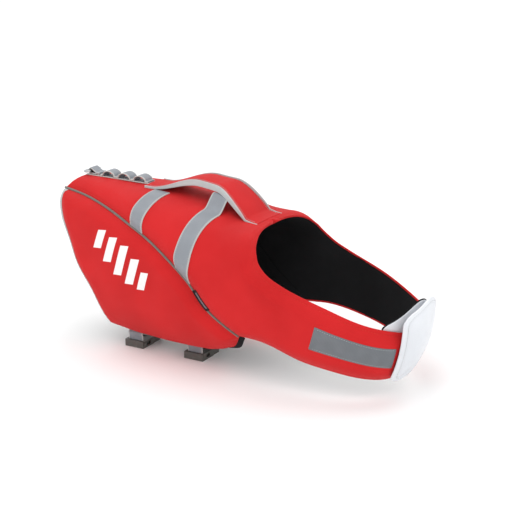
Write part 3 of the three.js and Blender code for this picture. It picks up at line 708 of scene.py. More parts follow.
class Nodes:
    """The nodes of one material."""

    def __init__(self, name: str) -> None:
        """Starts an empty material.

        Args:
            name: The material's name.
        """
        self.material = bpy.data.materials.new(name)
        self.material.use_nodes = True
        self.tree = self.material.node_tree
        self.tree.nodes.clear()

    def node(self, kind: str, settings: dict | None = None, inputs: dict | None = None) -> bpy.types.Node:
        """Adds a node.

        Args:
            kind: The node's type.
            settings: Its settings, which come first.
            inputs: Values or links of its sockets, by name or number.

        Returns:
            The node.
        """
        node = self.tree.nodes.new(kind)
        for key, value in (settings or {}).items():
            setattr(node, key, value)
        for key, value in (inputs or {}).items():
            if isinstance(value, Value):
                self.tree.links.new(value.socket, node.inputs[key])
            else:
                node.inputs[key].default_value = value
        return node

    def point(self) -> Value:
        """Gives the place on the object, in metres."""
        return Value(self, self.node("ShaderNodeTexCoord").outputs["Object"])

    def weave(self) -> tuple[Value, Value]:
        """Gives the millimetres along and across the cloth.

        Returns:
            The length along the cloth, and the length across it.
        """
        coords = Value(self, self.node("ShaderNodeUVMap", {"uv_map": "weave"}).outputs[0])
        parts = self.node("ShaderNodeSeparateXYZ", None, {0: coords})
        return Value(self, parts.outputs[0]), Value(self, parts.outputs[1])

    def noise(self, scale: float, detail: float = 2.0, roughness: float = 0.5) -> Value:
        """Gives soft noise from 0 to 1, at a scale of waves to the metre.

        Args:
            scale: Waves to the metre.
            detail: Finer layers on top of the first.
            roughness: How strong those are.

        Returns:
            The noise.
        """
        node = self.node("ShaderNodeTexNoise", None, {"Vector": self.point(), "Scale": scale, "Detail": detail,
                                                      "Roughness": roughness})
        return Value(self, node.outputs[0])

    def cells(self, scale: float) -> Value:
        """Gives the distance to the nearest of many scattered points, at a scale of points to the metre."""
        node = self.node("ShaderNodeTexVoronoi", None, {"Vector": self.point(), "Scale": scale})
        return Value(self, node.outputs[0])

    def mix(self, share: Value, first: "Colour | Value", second: "Colour | Value") -> Value:
        """Mixes two colours by a share of the second.

        Args:
            share: Share of the second colour.
            first, second: The colours.

        Returns:
            The mixed colour.
        """
        rgba = [value if isinstance(value, Value) else (*value, 1) for value in (first, second)]
        node = self.node("ShaderNodeMix", {"data_type": "RGBA"}, {0: share, 6: rgba[0], 7: rgba[1]})
        return Value(self, node.outputs[2])

    def bump(self, height: Value, depth: float, under: Value | None = None) -> Value:
        """Turns a height from 0 to 1 into a normal, over another bump if one is given.

        Args:
            height: The height, from 0 to 1.
            depth: What a height of 1 stands for, in metres.
            under: The bump that it lies on.

        Returns:
            The normal.
        """
        inputs = {"Height": height, "Distance": depth, "Strength": 1.0}
        if under is not None:
            inputs["Normal"] = under
        return Value(self, self.node("ShaderNodeBump", None, inputs).outputs[0])

    def finish(self, **sockets: "Value | float | Colour") -> bpy.types.Material:
        """Ends the material in one shader.

        Args:
            sockets: The shader's sockets, with _ for a space.

        Returns:
            The material.
        """
        inputs = {}
        for key, value in sockets.items():
            flat = isinstance(value, tuple) and len(value) == 3
            inputs[key.replace("_", " ")] = (*value, 1) if flat else value
        shader = self.node("ShaderNodeBsdfPrincipled", None, inputs)
        out = self.node("ShaderNodeOutputMaterial")
        self.tree.links.new(shader.outputs[0], out.inputs[0])
        return self.material


@dataclass(frozen=True)
class Fabric:
    """Plain woven cloth, with slow changes of colour and a fine weave."""

    name: str
    light: Colour
    dark: Colour
    rough: float = 0.72
    sheen: float = 0.03
    thread: float = 0.95
    depth: float = 0.00012
    gloss: float = 0.16

    def parts(self) -> tuple[Nodes, Value, Value, Value]:
        """Starts the finish.

        Returns:
            The nodes, the colour, the weave's height and the roughness.
        """
        nodes = Nodes(self.name)
        along, across = nodes.weave()
        height = (along * (TAU / self.thread)).sine() * (across * (TAU / self.thread)).sine() * 0.5 + 0.5
        slub = nodes.noise(900, 1)
        cloud = nodes.noise(9, 3).band(0.3, 0.7)
        # The colour share mixes slow clouds and slubs, the cloth's own tone, with painted shade from the weave:
        # darker in its dips, lighter on its crowns.
        shade = cloud * 0.55 + height * 0.2 + slub * 0.25
        paint = nodes.mix(shade, self.dark, self.light)
        return nodes, paint, height + slub * 0.35, nodes.noise(40, 2) * 0.16 + (self.rough - 0.08)

    def make(self) -> bpy.types.Material:
        """Makes the material.

        Returns:
            The finished material.
        """
        nodes, paint, height, rough = self.parts()
        return nodes.finish(Base_Color=paint, Roughness=rough, Normal=nodes.bump(height, self.depth),
                            Specular_IOR_Level=self.gloss, Sheen_Weight=self.sheen, Sheen_Roughness=0.5)


@dataclass(frozen=True)
class PrintedFabric(Fabric):
    """The same cloth with plain slanted bars printed on it."""

    ink: Colour = (0.8, 0.8, 0.8)
    bars: tuple[tuple[float, float, float, float], ...] = ()
    slant: float = 0.35

    def make(self) -> bpy.types.Material:
        """Makes the material.

        Returns:
            The finished material.
        """
        nodes, paint, height, rough = self.parts()
        along, across = nodes.weave()
        across = abs(across)
        mask = None
        for middle, centre, half_length, half_width in self.bars:
            lean = along - middle + (across - centre) * self.slant
            one = abs(lean).band(half_length + 0.4, half_length - 0.4) \
                * abs(across - centre).band(half_width + 0.4, half_width - 0.4)
            mask = one if mask is None else mask.math("MAXIMUM", one)
        paint = nodes.mix(mask * (height * 0.06 + 0.94), paint, self.ink)
        return nodes.finish(Base_Color=paint, Roughness=rough - mask * 0.18,
                            Normal=nodes.bump(height * (1 - mask * 0.6), self.depth),
                            Specular_IOR_Level=self.gloss, Sheen_Weight=self.sheen, Sheen_Roughness=0.5)


@dataclass(frozen=True)
class Webbing:
    """Ribbed strap webbing with paler selvedges."""

    name: str
    body: Colour
    edge: Colour
    half_width: float
    pitch: float = 1.7
    depth: float = 0.0003
    metal: float = 0.0
    rough: float = 0.62

    def make(self) -> bpy.types.Material:
        """Makes the material.

        Returns:
            The finished material.
        """
        nodes = Nodes(self.name)
        along, across = nodes.weave()
        zigzag = (abs((across * (TAU / 5.2)).sine()) * 1.1 + along * (TAU / self.pitch)).sine() * 0.5 + 0.5
        cords = (across * (TAU / 1.3)).sine() * 0.5 + 0.5
        height = zigzag * 0.7 + cords * 0.3
        selvedge = abs(across).band(self.half_width - 2.0, self.half_width - 0.5)
        worn = nodes.noise(60, 3).band(0.35, 0.75)
        # Painted shade: the colour falls to a darker copy of the body colour in the rib grooves where the weave is
        # low, mixed with random worn patches.
        tone = nodes.mix(height * 0.5 + worn * 0.3, tuple(0.72 * c for c in self.body), self.body)
        return nodes.finish(Base_Color=nodes.mix(selvedge, tone, self.edge),
                            Roughness=self.rough - height * 0.12, Metallic=self.metal,
                            Normal=nodes.bump(height, self.depth), Specular_IOR_Level=0.35,
                            Sheen_Weight=0.1)


@dataclass(frozen=True)
class Vinyl:
    """Soft coated cloth with a fine leather grain."""

    name: str
    light: Colour
    dark: Colour
    rough: float = 0.4

    def make(self) -> bpy.types.Material:
        """Makes the material.

        Returns:
            The finished material.
        """
        nodes = Nodes(self.name)
        grain = nodes.cells(1400)
        cloud = nodes.noise(14, 3).band(0.3, 0.72)
        creases = nodes.noise(220, 4).band(0.4, 0.6)
        paint = nodes.mix(cloud * 0.7 + grain * 0.3, self.dark, self.light)
        skin = nodes.bump(grain, 0.00012, nodes.bump(creases, 0.00006))
        return nodes.finish(Base_Color=paint, Roughness=grain * 0.14 + (self.rough - 0.05), Normal=skin,
                            Specular_IOR_Level=0.4, Coat_Weight=0.12, Coat_Roughness=0.35)


@dataclass(frozen=True)
class Pile:
    """Short fuzzy pile, such as hook and loop tape."""

    name: str
    light: Colour
    dark: Colour
    scale: float = 1500.0

    def make(self) -> bpy.types.Material:
        """Makes the material.

        Returns:
            The finished material.
        """
        nodes = Nodes(self.name)
        tufts = nodes.cells(self.scale)
        return nodes.finish(Base_Color=nodes.mix(tufts, self.light, self.dark),
                            Roughness=nodes.noise(300) * 0.1 + 0.85,
                            Normal=nodes.bump(1 - tufts, 0.0005), Sheen_Weight=0.3)


@dataclass(frozen=True)
class Moulded:
    """Moulded plastic with a fine even grain and paler rubbed places."""

    name: str
    body: Colour
    rubbed: Colour
    rough: float = 0.42

    def make(self) -> bpy.types.Material:
        """Makes the material.

        Returns:
            The finished material.
        """
        nodes = Nodes(self.name)
        grain = nodes.noise(2600, 2)
        wear = nodes.noise(90, 4).band(0.5, 0.8)
        return nodes.finish(Base_Color=nodes.mix(wear * 0.6, self.body, self.rubbed),
                            Roughness=grain * 0.12 + self.rough - wear * 0.06,
                            Normal=nodes.bump(grain, 0.00006))


@dataclass(frozen=True)
class Metal:
    """Brushed metal, lighter and darker in slow patches."""

    name: str
    light: Colour
    dark: Colour

    def make(self) -> bpy.types.Material:
        """Makes the material.

        Returns:
            The finished material.
        """
        nodes = Nodes(self.name)
        brushed = nodes.noise(1200, 3)
        patches = nodes.noise(70, 3).band(0.3, 0.7)
        return nodes.finish(Base_Color=nodes.mix(patches, self.dark, self.light), Metallic=1.0,
                            Roughness=brushed * 0.14 + 0.18, Normal=nodes.bump(brushed, 0.00002))


class Palette:
    """Every finish of the jacket, made once."""

    def __init__(self) -> None:
        """Makes the materials."""
        red, deep = colour(208, 36, 38), colour(184, 24, 26)
        self.red = Fabric("red_polyester", red, deep).make()
        self.printed = PrintedFabric(
            "printed_red_polyester", red, deep, ink=colour(236, 236, 236),
            bars=((90, 112, 8, 13), (112, 126, 8, 18), (134, 140, 8, 22), (156, 154, 8, 19),
                  (176, 166, 7, 13))).make()
        self.lining = Fabric("black_lining", colour(30, 30, 32), colour(14, 14, 15), rough=0.9, sheen=0.02,
                             thread=1.8, depth=0.00025).make()
        self.webbing = Webbing("grey_webbing", colour(150, 155, 162), colour(180, 182, 180), 13).make()
        self.narrow = Webbing("grey_webbing_narrow", colour(152, 157, 164), colour(190, 190, 186), 10).make()
        self.binding = Webbing("grey_binding", colour(200, 205, 205), colour(208, 210, 208), 30,
                               pitch=1.3, depth=0.00016).make()
        self.piping = Webbing("grey_piping", colour(122, 116, 110), colour(122, 116, 110), 30,
                              pitch=1.5, depth=0.00015).make()
        self.reflective = Webbing("reflective_tape", colour(118, 123, 128), colour(150, 150, 146), 22,
                                  pitch=1.9, depth=0.0001, metal=0.35, rough=0.42).make()
        self.vinyl = Vinyl("white_vinyl", colour(232, 235, 240), colour(214, 217, 222)).make()
        self.trim_vinyl = Vinyl("grey_vinyl_edge", colour(176, 180, 178), colour(158, 162, 160)).make()
        self.hooks = Pile("hook_tape", colour(40, 40, 42), colour(12, 12, 13)).make()
        self.plastic = Moulded("buckle_plastic", colour(78, 76, 72), colour(112, 110, 104)).make()
        self.steel = Metal("ring_steel", colour(208, 210, 212), colour(170, 172, 176)).make()
        self.red_thread = Fabric("red_thread", colour(222, 66, 52), colour(180, 40, 30), thread=0.5,
                                 rough=0.6).make()
        self.grey_thread = Fabric("grey_thread", colour(206, 208, 206), colour(150, 152, 152), thread=0.5,
                                  rough=0.6).make()
        self.label = Fabric("woven_label", colour(34, 30, 34), colour(20, 18, 20), thread=0.5).make()
        self.label_stripe = Fabric("label_stripe", colour(140, 126, 132), colour(116, 104, 110),
                                   thread=0.5).make()


def dress(piece: bpy.types.Object, material: bpy.types.Material, body: str = "jacket",
          stands_for: tuple[str, ...] = ()) -> bpy.types.Object:
    """Gives a piece its finish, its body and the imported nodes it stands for.

    Args:
        piece: The piece.
        material: Its finish.
        body: The body it rides on.
        stands_for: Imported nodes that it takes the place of.

    Returns:
        The piece.
    """
    piece.data.materials.clear()
    piece.data.materials.append(material)
    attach(piece, body)
    if stands_for:
        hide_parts(*stands_for)
    LOG.info("%s: %d faces on %s", piece.name, len(piece.data.polygons), body)
    return piece


# ---------------------------------------------------------------- stitching


@dataclass
class Stitching:
    """Rows of lockstitch, each stitch a small bead of thread lying on the cloth."""

    name: str
    pitch: float = 4.2
    length: float = 2.9
    radius: float = 0.33
    points: list[np.ndarray] = field(default_factory=list)
    count: int = 0
    girths: tuple[tuple[float, float], ...] = ((-0.5, 0.25), (-0.38, 0.85), (0, 1.0), (0.38, 0.85), (0.5, 0.25))
    sides: int = 6

    def bead(self) -> np.ndarray:
        """Gives the rings of one stitch, as (along, across, up).

        Returns:
            Rings by points by 3.
        """
        rows = []
        for share, girth in self.girths:
            sink = -1.3 * self.radius * (2 * share) ** 2
            turns = [TAU * k / self.sides for k in range(self.sides)]
            rows.append([(share * self.length, girth * self.radius * math.cos(turn),
                          girth * self.radius * math.sin(turn) + sink) for turn in turns])
        return np.array(rows)

    def run(self, line: np.ndarray, ups: np.ndarray, lift: float = 0.1) -> None:
        """Sews a row along a line of points.

        Args:
            line: Points on the cloth.
            ups: The cloth's normal at each.
            lift: Height of the thread over the line.
        """
        length = travelled(line)
        count = max(int(length[-1] / self.pitch), 1)
        where = (np.arange(count) + 0.5) * length[-1] / count
        middle, up = read_off(where, length, line), unit(read_off(where, length, ups))
        along = unit(read_off(np.minimum(where + 1, length[-1]), length, line)
                     - read_off(np.maximum(where - 1, 0), length, line))
        across = unit(np.cross(up, along))
        up = np.cross(along, across)
        shape = self.bead().reshape(-1, 3)
        placed = (middle + up * lift)[:, None] + shape[None, :, :1] * along[:, None] \
            + shape[None, :, 1:2] * across[:, None] + shape[None, :, 2:] * up[:, None]
        self.points.append(placed.reshape(-1, 3))
        self.count += count

    def build(self, material: bpy.types.Material, slot: str, body: str = "jacket") -> bpy.types.Object:
        """Makes one object of every row sewn so far.

        Args:
            material: The thread's finish.
            slot: Not used.
            body: The body it rides on.

        Returns:
            The object.
        """
        rings, sides = len(self.girths), self.sides
        index = np.arange(rings * sides).reshape(rings, sides)
        around = np.roll(index, -1, axis=1)
        quads = np.stack([index[:-1], around[:-1], around[1:], index[1:]], -1).reshape(-1, 4)
        faces = []
        for start in range(0, index.size * self.count, index.size):
            faces += (quads + start).tolist()
            faces += [(index[0][::-1] + start).tolist(), (index[-1] + start).tolist()]
        one = np.stack([np.repeat(np.arange(rings) * 0.7, sides), np.tile(np.arange(sides) * 0.35, rings)], -1)
        weave = np.tile(one, (self.count, 1))
        return dress(new_object(self.name, np.vstack(self.points), faces, weave), material, body)


# ---------------------------------------------------------------- panels


CoverFace = Callable[[Side, np.ndarray], tuple[np.ndarray, np.ndarray]]
INSET_TRIES = 3  # rounds that bring a row of stitches to its distance from the edge


@dataclass
class Panels:
    """The padded covers and the linings inside them."""

    palette: Palette
    back_steps: tuple[int, int] = (96, 52)
    collar_steps: int = 116
    side_steps: tuple[int, int] = (96, 52)
    seam: float = 0.35
    cover_inner: float = 1.15
    stitch_inset: float = 4.2

    def __post_init__(self) -> None:
        """Measures the sewn edges."""
        body_edges = []
        for side in Side:
            body_edges += [edge_line(side, REAR_TOP), edge_line(side, PIPING), edge_line(side, ARM_LOWER[side]),
                           edge_line(side, ARM_TIP[side]), edge_line(side, NECK_EDGE, start=NECK_START)]
        self.body_padding = Padding(body_edges)
        self.side_padding = {side: Padding([edge_line(side, line) for line in
                                            (PIPING, BELLY_EDGE, REAR_EDGE, SIDE_FRONT)]) for side in Side}

    def body_patch(self) -> Patch:
        """Gives the surface of the back and the collar, sewn into one.

        Returns:
            One patch over both sides of the dog.
        """
        parts = []
        for side in Side:
            back = fill(SPINE, PIPING, REAR_TOP, YOKE, self.back_steps, (0, self.seam, 0, 0))
            collar = fill(NECK_EDGE, ARM_LOWER[side], YOKE, ARM_TIP[side], (self.collar_steps, self.back_steps[1]))
            back[-1] = collar[0]
            parts += [patch_on_form(side, back), patch_on_form(side, collar)]
        return parts[0].joined(*parts[1:])

    def top_of(self, padding: Padding, side: Side, places: np.ndarray) -> tuple[np.ndarray, np.ndarray]:
        """Gives points on the face of a padded cover.

        Args:
            padding: The cover's padding.
            side: Side of the dog.
            places: Stations and angles, in the last axis.

        Returns:
            The points and their normals.
        """
        station, angle = places[..., 0], places[..., 1]
        base, normal = TORSO.point(side, station, angle), TORSO.normal(side, station, angle)
        height = padding.height(base.reshape(-1, 3), station.ravel())
        return base + normal * height.reshape(station.shape)[..., None], normal

    def top_of_back(self, side: Side, places: np.ndarray) -> tuple[np.ndarray, np.ndarray]:
        """Gives points on the cover of the back and collar, and their normals."""
        return self.top_of(self.body_padding, side, places)

    def top_of_side(self, side: Side, places: np.ndarray) -> tuple[np.ndarray, np.ndarray]:
        """Gives points on the cover of a side panel, and their normals."""
        return self.top_of(self.side_padding[side], side, places)

    def build(self) -> None:
        """Makes the covers and the linings."""
        patch = self.body_patch()
        height = self.body_padding.height(patch.base, patch.places[:, 0])
        cover = shell("body_cover", patch, height, self.cover_inner, HEM_RIM, 1.5)
        nodes = [f"{panel}_{layer}_{side.word}" for panel in ("back", "collar") for layer in ("cover", "foam")
                 for side in Side]
        dress(cover, self.palette.red, stands_for=tuple(nodes))
        self.line("body_lining", patch, [f"{panel}_lining_{side.word}" for panel in ("back", "collar")
                                         for side in Side])
        for side in Side:
            places = fill(PIPING, BELLY_EDGE, REAR_EDGE, SIDE_FRONT, self.side_steps, (self.seam,) * 4)
            patch = patch_on_form(side, places)
            height = self.side_padding[side].height(patch.base, patch.places[:, 0])
            cover = shell(f"side_cover_{side.word}_pad", patch, height, self.cover_inner, HEM_RIM, 1.5)
            dress(cover, self.palette.printed,
                  stands_for=(f"side_cover_{side.word}", f"side_foam_{side.word}"))
            self.line(f"side_lining_{side.word}_cloth", patch, [f"side_lining_{side.word}"])

    def line(self, name: str, patch: Patch, nodes: list[str]) -> None:
        """Lines a panel, the lining ending just inside its hem.

        Args:
            name: The piece's name.
            patch: The panel's surface.
            nodes: Packed linings that it takes the place of.
        """
        edge = patch.rim()
        base = patch.base.copy()
        base[edge] -= patch.outward(edge) * 1.7
        inner = Patch(base, patch.normal, patch.weave, patch.faces, patch.places)
        ripple = 0.15 * np.sin(base @ np.array([0.11, 0.07, 0.09]))
        lining = shell(name, inner, np.full(len(base), 1.0), ripple, ((0.1, 0.8), (0.1, 0.2)))
        dress(lining, self.palette.lining, stands_for=tuple(nodes))

    def bind_inside(self) -> None:
        """Tapes the seams over the lining, and adds the flange at the front of each side panel."""
        for side in Side:
            share, across = share_grid(np.linspace(0, 1, 150), np.linspace(-1, 1, 7))
            places = PIPING.at(share.ravel()).reshape(*share.shape, 2)
            places[..., 1] += 3.4 * across
            tape = shell(f"seam_tape_{side.word}_inner", patch_on_form(side, places), -0.1, -1.1)
            dress(tape, self.palette.lining)
            share, out = share_grid(np.linspace(0, 1, 60), np.linspace(-0.7, 1, 8))
            places = SIDE_FRONT.at(share.ravel()).reshape(*share.shape, 2) + out[..., None] * [5.8, 3.3]
            flange = shell(f"side_flange_{side.word}_hem", patch_on_form(side, places), 0.2, -1.2)
            dress(flange, self.palette.lining)

    def sew(self) -> None:
        """Topstitches every panel along its edges."""
        seams = Stitching("panel_stitching")
        for side in Side:
            for outline, start, end in ((PIPING, 0.01, 0.99), (NECK_EDGE, NECK_START + 0.01, 0.99),
                                        (ARM_LOWER[side], 0.02, 0.98)):
                self.row(seams, side, outline, self.top_of_back, start, end,
                         1 if outline is NECK_EDGE else -1)
            for outline, inward in ((PIPING, 1), (BELLY_EDGE, -1)):
                self.row(seams, side, outline, self.top_of_side, 0.02, 0.98, inward)
        seams.build(self.palette.red_thread, "cover_fabric")

    def row(self, seams: Stitching, side: Side, outline: Outline, top: CoverFace, start: float, end: float,
            inward: int) -> None:
        """Sews one row of stitches beside an outline.

        Args:
            seams: The stitching it joins.
            side: Side of the dog.
            outline: The sewn edge.
            top: Gives the points of the cover that it lies on.
            start, end: Where it starts and ends, as shares of the outline.
            inward: 1 where the cover lies at greater angles than the edge, -1 where at lesser ones.
        """
        places = outline.at(np.linspace(start, end, 160))
        base = TORSO.point(side, places[:, 0], places[:, 1])
        direction = np.gradient(places * [1, ANGLE_SCALE], axis=0)
        square = np.stack([-direction[:, 1], direction[:, 0]], -1)
        square /= np.linalg.norm(square, axis=1, keepdims=True)
        square *= np.sign(square[:, 1:]) * inward
        for _ in range(INSET_TRIES):
            moved = places + square / [1, ANGLE_SCALE]
            reach = np.linalg.norm(TORSO.point(side, moved[:, 0], moved[:, 1]) - base, axis=1)
            square *= (self.stitch_inset / reach)[:, None]
        moved = places + square / [1, ANGLE_SCALE]
        seams.run(*top(side, moved))


# ---------------------------------------------------------------- webbing and trim


WEBBING_COLUMNS = 9  # points across a webbing, the middle one on its centre line
MIDDLE = WEBBING_COLUMNS // 2


def ribbon(name: str, centres: np.ndarray, ups: np.ndarray, width: float, thick: float) -> bpy.types.Object:
    """Makes flat webbing along a row of points.

    Args:
        name: The piece's name.
        centres: Points along its middle.
        ups: The direction its face looks to.
        width, thick: Its size.

    Returns:
        The object, with weave coordinates along and across it.
    """
    along = unit(np.gradient(centres, axis=0))
    across = unit(np.cross(along, ups))
    shares = np.linspace(-0.5, 0.5, WEBBING_COLUMNS)
    base = centres[:, None] + across[:, None] * shares[None, :, None] * (width - thick * 0.5)
    square = unit(np.cross(across, along))
    normal = np.repeat(square[:, None], WEBBING_COLUMNS, axis=1)
    run = travelled(centres)
    weave = np.stack(np.broadcast_arrays(run[:, None], np.linspace(-width / 2, width / 2, WEBBING_COLUMNS)[None]), -1)
    patch = Patch.of_grid(base, normal, weave, weave)
    return shell(name, patch, thick / 2, -thick / 2)


def curve(points: list | np.ndarray, count: int) -> np.ndarray:
    """Runs a smooth line through points.

    Args:
        points: Points of any number of dimensions.
        count: How many points to give.

    Returns:
        Points evenly spaced along it.
    """
    knots = np.array(points, float)
    knots = np.vstack([2 * knots[0] - knots[1], knots, 2 * knots[-1] - knots[-2]])
    rows = []
    t = np.linspace(0, 1, 24, endpoint=False)[:, None]
    for p, q, r, s in zip(knots, knots[1:], knots[2:], knots[3:]):
        rows.append(0.5 * (2 * q + (r - p) * t + (2 * p - 5 * q + 4 * r - s) * t**2
                           + (3 * q - p - 3 * r + s) * t**3))
    line = np.vstack([*rows, knots[-2:-1]])
    length = travelled(line)
    return read_off(np.linspace(0, length[-1], count), length, line)


@dataclass
class Trim:
    """Piping, binding, back straps, label and reflective tape, all sewn onto the covers."""

    palette: Palette
    panels: Panels
    strap_width: float = 26.0
    strap_thick: float = 1.5
    sunk: float = 0.4
    strap_top_y: float = 27.0
    piping_radius: float = 1.9
    piping_height: float = 3.9
    straps: tuple[tuple[str, tuple[float, float], float], ...] = (
        ("rear", (160.0, 151.0), 0.0), ("front", (263.0, 244.0), 19.0))

    def build(self) -> None:
        """Makes the trim of both sides."""
        self.seams = Stitching("webbing_stitching", pitch=3.4, length=2.3)
        for side in Side:
            self.piping(side)
            self.binding(side)
            for word, middle, lift in self.straps:
                self.strap(side, word, middle, lift)
            self.reflector(side)
        self.label()
        self.seams.build(self.palette.grey_thread, "webbing")

    def piping(self, side: Side) -> None:
        """Makes the corded piping over the seam between back and side.

        Args:
            side: Side of the dog.
        """
        places = PIPING.at(np.linspace(0, 1, 190))
        up = TORSO.normal(side, places[:, 0], places[:, 1])
        centre = TORSO.point(side, places[:, 0], places[:, 1]) + up * self.piping_height
        cord = tube(f"seam_piping_{side.word}_cord", centre, up, self.piping_radius)
        dress(cord, self.palette.piping, stands_for=(f"seam_piping_{side.word}",))

    def binding(self, side: Side) -> None:
        """Makes the tape folded round the rear edge of a side panel.

        Args:
            side: Side of the dog.
        """
        places = REAR_EDGE.at(np.linspace(0.012, 1, 150))
        base = TORSO.point(side, places[:, 0], places[:, 1])
        up = TORSO.normal(side, places[:, 0], places[:, 1])
        inward = unit(np.cross(up, np.gradient(base, axis=0)))
        inner = TORSO.point(side, places[:, 0] + 3, places[:, 1])
        inward *= np.sign((inward * (inner - base)).sum(1, keepdims=True))
        heights = {}
        for inset in (0.5, 2.0, 4.0, 6.0, 9.0):
            spot = base + inward * inset
            heights[inset] = self.panels.side_padding[side].height(spot, places[:, 0])
        flat = np.zeros(len(places))
        # The fold in steps of (distance out, height): over the cover, round the hem, and back inside.
        path = [(-9.2, heights[9.0] - 0.4), (-8.8, heights[9.0] + 0.8), (-6.0, heights[6.0] + 1.0),
                (-4.0, heights[4.0] + 1.2),
                (-2.0, heights[2.0] + 1.2), (-0.3, heights[0.5] + 1.1), (1.4, flat + 2.6), (2.1, flat + 1.2),
                (1.5, flat - 0.3), (0.2, flat - 1.0), (-2.5, flat - 1.1), (-5.4, flat - 1.0),
                (-5.6, flat - 0.3), (-4.5, flat + 0.8), (-4.5, heights[4.0] - 1.0)]
        rings = np.stack([base - inward * out + up * height[:, None] for out, height in path], axis=1)
        tape = loft(f"rear_binding_{side.word}_tape", rings)
        dress(tape, self.palette.binding, stands_for=(f"rear_binding_{side.word}",))
        line = base + inward * 6.0 + up * (heights[6.0] + 1.1)[:, None]
        self.seams.run(line, up, 0.05)

    def strap(self, side: Side, word: str, middle: tuple[float, float], lift: float) -> None:
        """Makes one strap that slants from the handle down to the piping.

        Args:
            side: Side of the dog.
            word: Rear or front.
            middle: Stations of its middle at the handle and at the piping.
            lift: How far its upper end rises to the handle.
        """
        shares = np.linspace(-0.5, 0.5, WEBBING_COLUMNS)
        down = np.linspace(0, 1, 70)
        rows = []
        for share in shares:
            start, end = (station + share * (self.strap_width - 0.8) for station in middle)
            angle = lerp(self.angle_at(side, start, self.strap_top_y), PIPING.angle(end) - 0.5, down)
            rows.append(np.stack([lerp(start, end, down), angle], -1))
        places = np.stack(rows, axis=1)
        base, normal = self.panels.top_of_back(side, places)
        if lift:
            reach = np.abs(base[..., 1])
            raise_by = lift * (1 - smooth(reach, self.strap_top_y + 1, self.strap_top_y + 24))
            base = base + np.array([0, 0, 1]) * raise_by[..., None]
        run = travelled(base[:, MIDDLE])
        weave = np.stack(np.broadcast_arrays(run[:, None], shares[None] * self.strap_width), -1)
        patch = Patch.of_grid(base, normal, weave, places)
        piece = shell(f"{word}_strap_{side.word}_webbing", patch, self.strap_thick, -self.sunk)
        dress(piece, self.palette.webbing, stands_for=(f"{word}_strap_{side.word}",))
        for column in (0, WEBBING_COLUMNS - 1):
            inner = lerp(base[:, column], base[:, MIDDLE], 0.17)
            self.seams.run((inner + normal[:, column] * self.strap_thick)[18:], normal[18:, column], 0.05)

    def angle_at(self, side: Side, station: float, reach: float) -> float:
        """Gives the angle at which the form is a given distance from the spine's plane."""
        angles = np.linspace(0, 80, 400)
        return float(np.interp(reach, np.abs(TORSO.point(side, station, angles)[:, 1]), angles))

    def reflector(self, side: Side) -> None:
        """Makes the tape near the end of an arm.

        Args:
            side: Side of the dog.
        """
        lower = 111.5 if side is Side.RIGHT else 109.0
        share, down = share_grid(np.linspace(0, 1, 60), np.linspace(0, 1, 15))
        upper = lerp(98, 103.5, np.sin(math.pi / 2 * share)) - (2 if side is Side.LEFT else 0)
        places = np.stack([lerp(486 - 6 * down, ARM_END - 16, share), lerp(upper, lower, down)], -1)
        base, normal = self.panels.top_of_back(side, places)
        run = np.linalg.norm(np.diff(base, axis=0, prepend=base[:1]), axis=-1).cumsum(0)
        width = np.linalg.norm(np.diff(base, axis=1), axis=-1).sum(1, keepdims=True)
        weave = np.stack([run, (down - 0.5) * width], -1)
        patch = Patch.of_grid(base, normal, weave, places)
        piece = shell(f"reflector_{side.word}_tape", patch, 0.55, -0.3)
        dress(piece, self.palette.reflective, stands_for=(f"reflector_{side.word}",))
        for column in (0, 14):
            inner = lerp(base[:, column], base[:, 7], 0.1)
            self.seams.run((inner + normal[:, column] * 0.55)[2:-1], normal[2:-1, column], 0.05)

    def label(self) -> None:
        """Makes the small folded label in the piping seam, with a plain stripe."""
        for name, low, high, back, fore, lift in (("size_tab_label", 0.0, 1.0, 263.5, 285.5, 0.9),
                                                  ("size_tab_stripe", 0.4, 0.7, 266.0, 283.0, 1.1)):
            share, up = share_grid(np.linspace(0, 1, 16), np.linspace(low, high, 7))
            seam = np.vectorize(PIPING.angle)(lerp(back, fore, share))
            places = np.stack([lerp(back, fore, share) + 7.7 * up, seam - 0.4 - 2.2 * up], -1)
            base, normal = self.panels.top_of_back(Side.RIGHT, places)
            form = TORSO.point(Side.RIGHT, places[..., 0], places[..., 1])
            height = ((base - form) * normal).sum(-1, keepdims=True)
            base = form + normal * np.maximum(height, 6.4)
            weave = np.stack([22 * share, up * 10], -1)
            patch = Patch.of_grid(base, normal, weave, places)
            piece = shell(name, patch, lift, 0.0 if name.endswith("label") else 0.6)
            if name.endswith("label"):
                dress(piece, self.palette.label, stands_for=("size_tab",))
            else:
                dress(piece, self.palette.label_stripe)


# ---------------------------------------------------------------- handle, daisy chain and leash ring


def back_top(x: float | np.ndarray) -> np.ndarray:
    """Gives the height of the back's cover along the spine."""
    padding = Padding.full * (1 - YOKE_THINNING * smooth(x, *YOKE_RUN))
    return TORSO.point(Side.RIGHT, x, 0.0)[..., 2] + (Padding.lining + Padding.cloth) + padding


BAND_PROFILE = ((-1, -0.9), (-0.8, -1), (0.8, -1), (1, -0.9), (1, -0.45), (1, 0),
                (1, 0.45), (1, 0.9), (0.8, 1), (-0.8, 1), (-1, 0.9), (-1, 0))


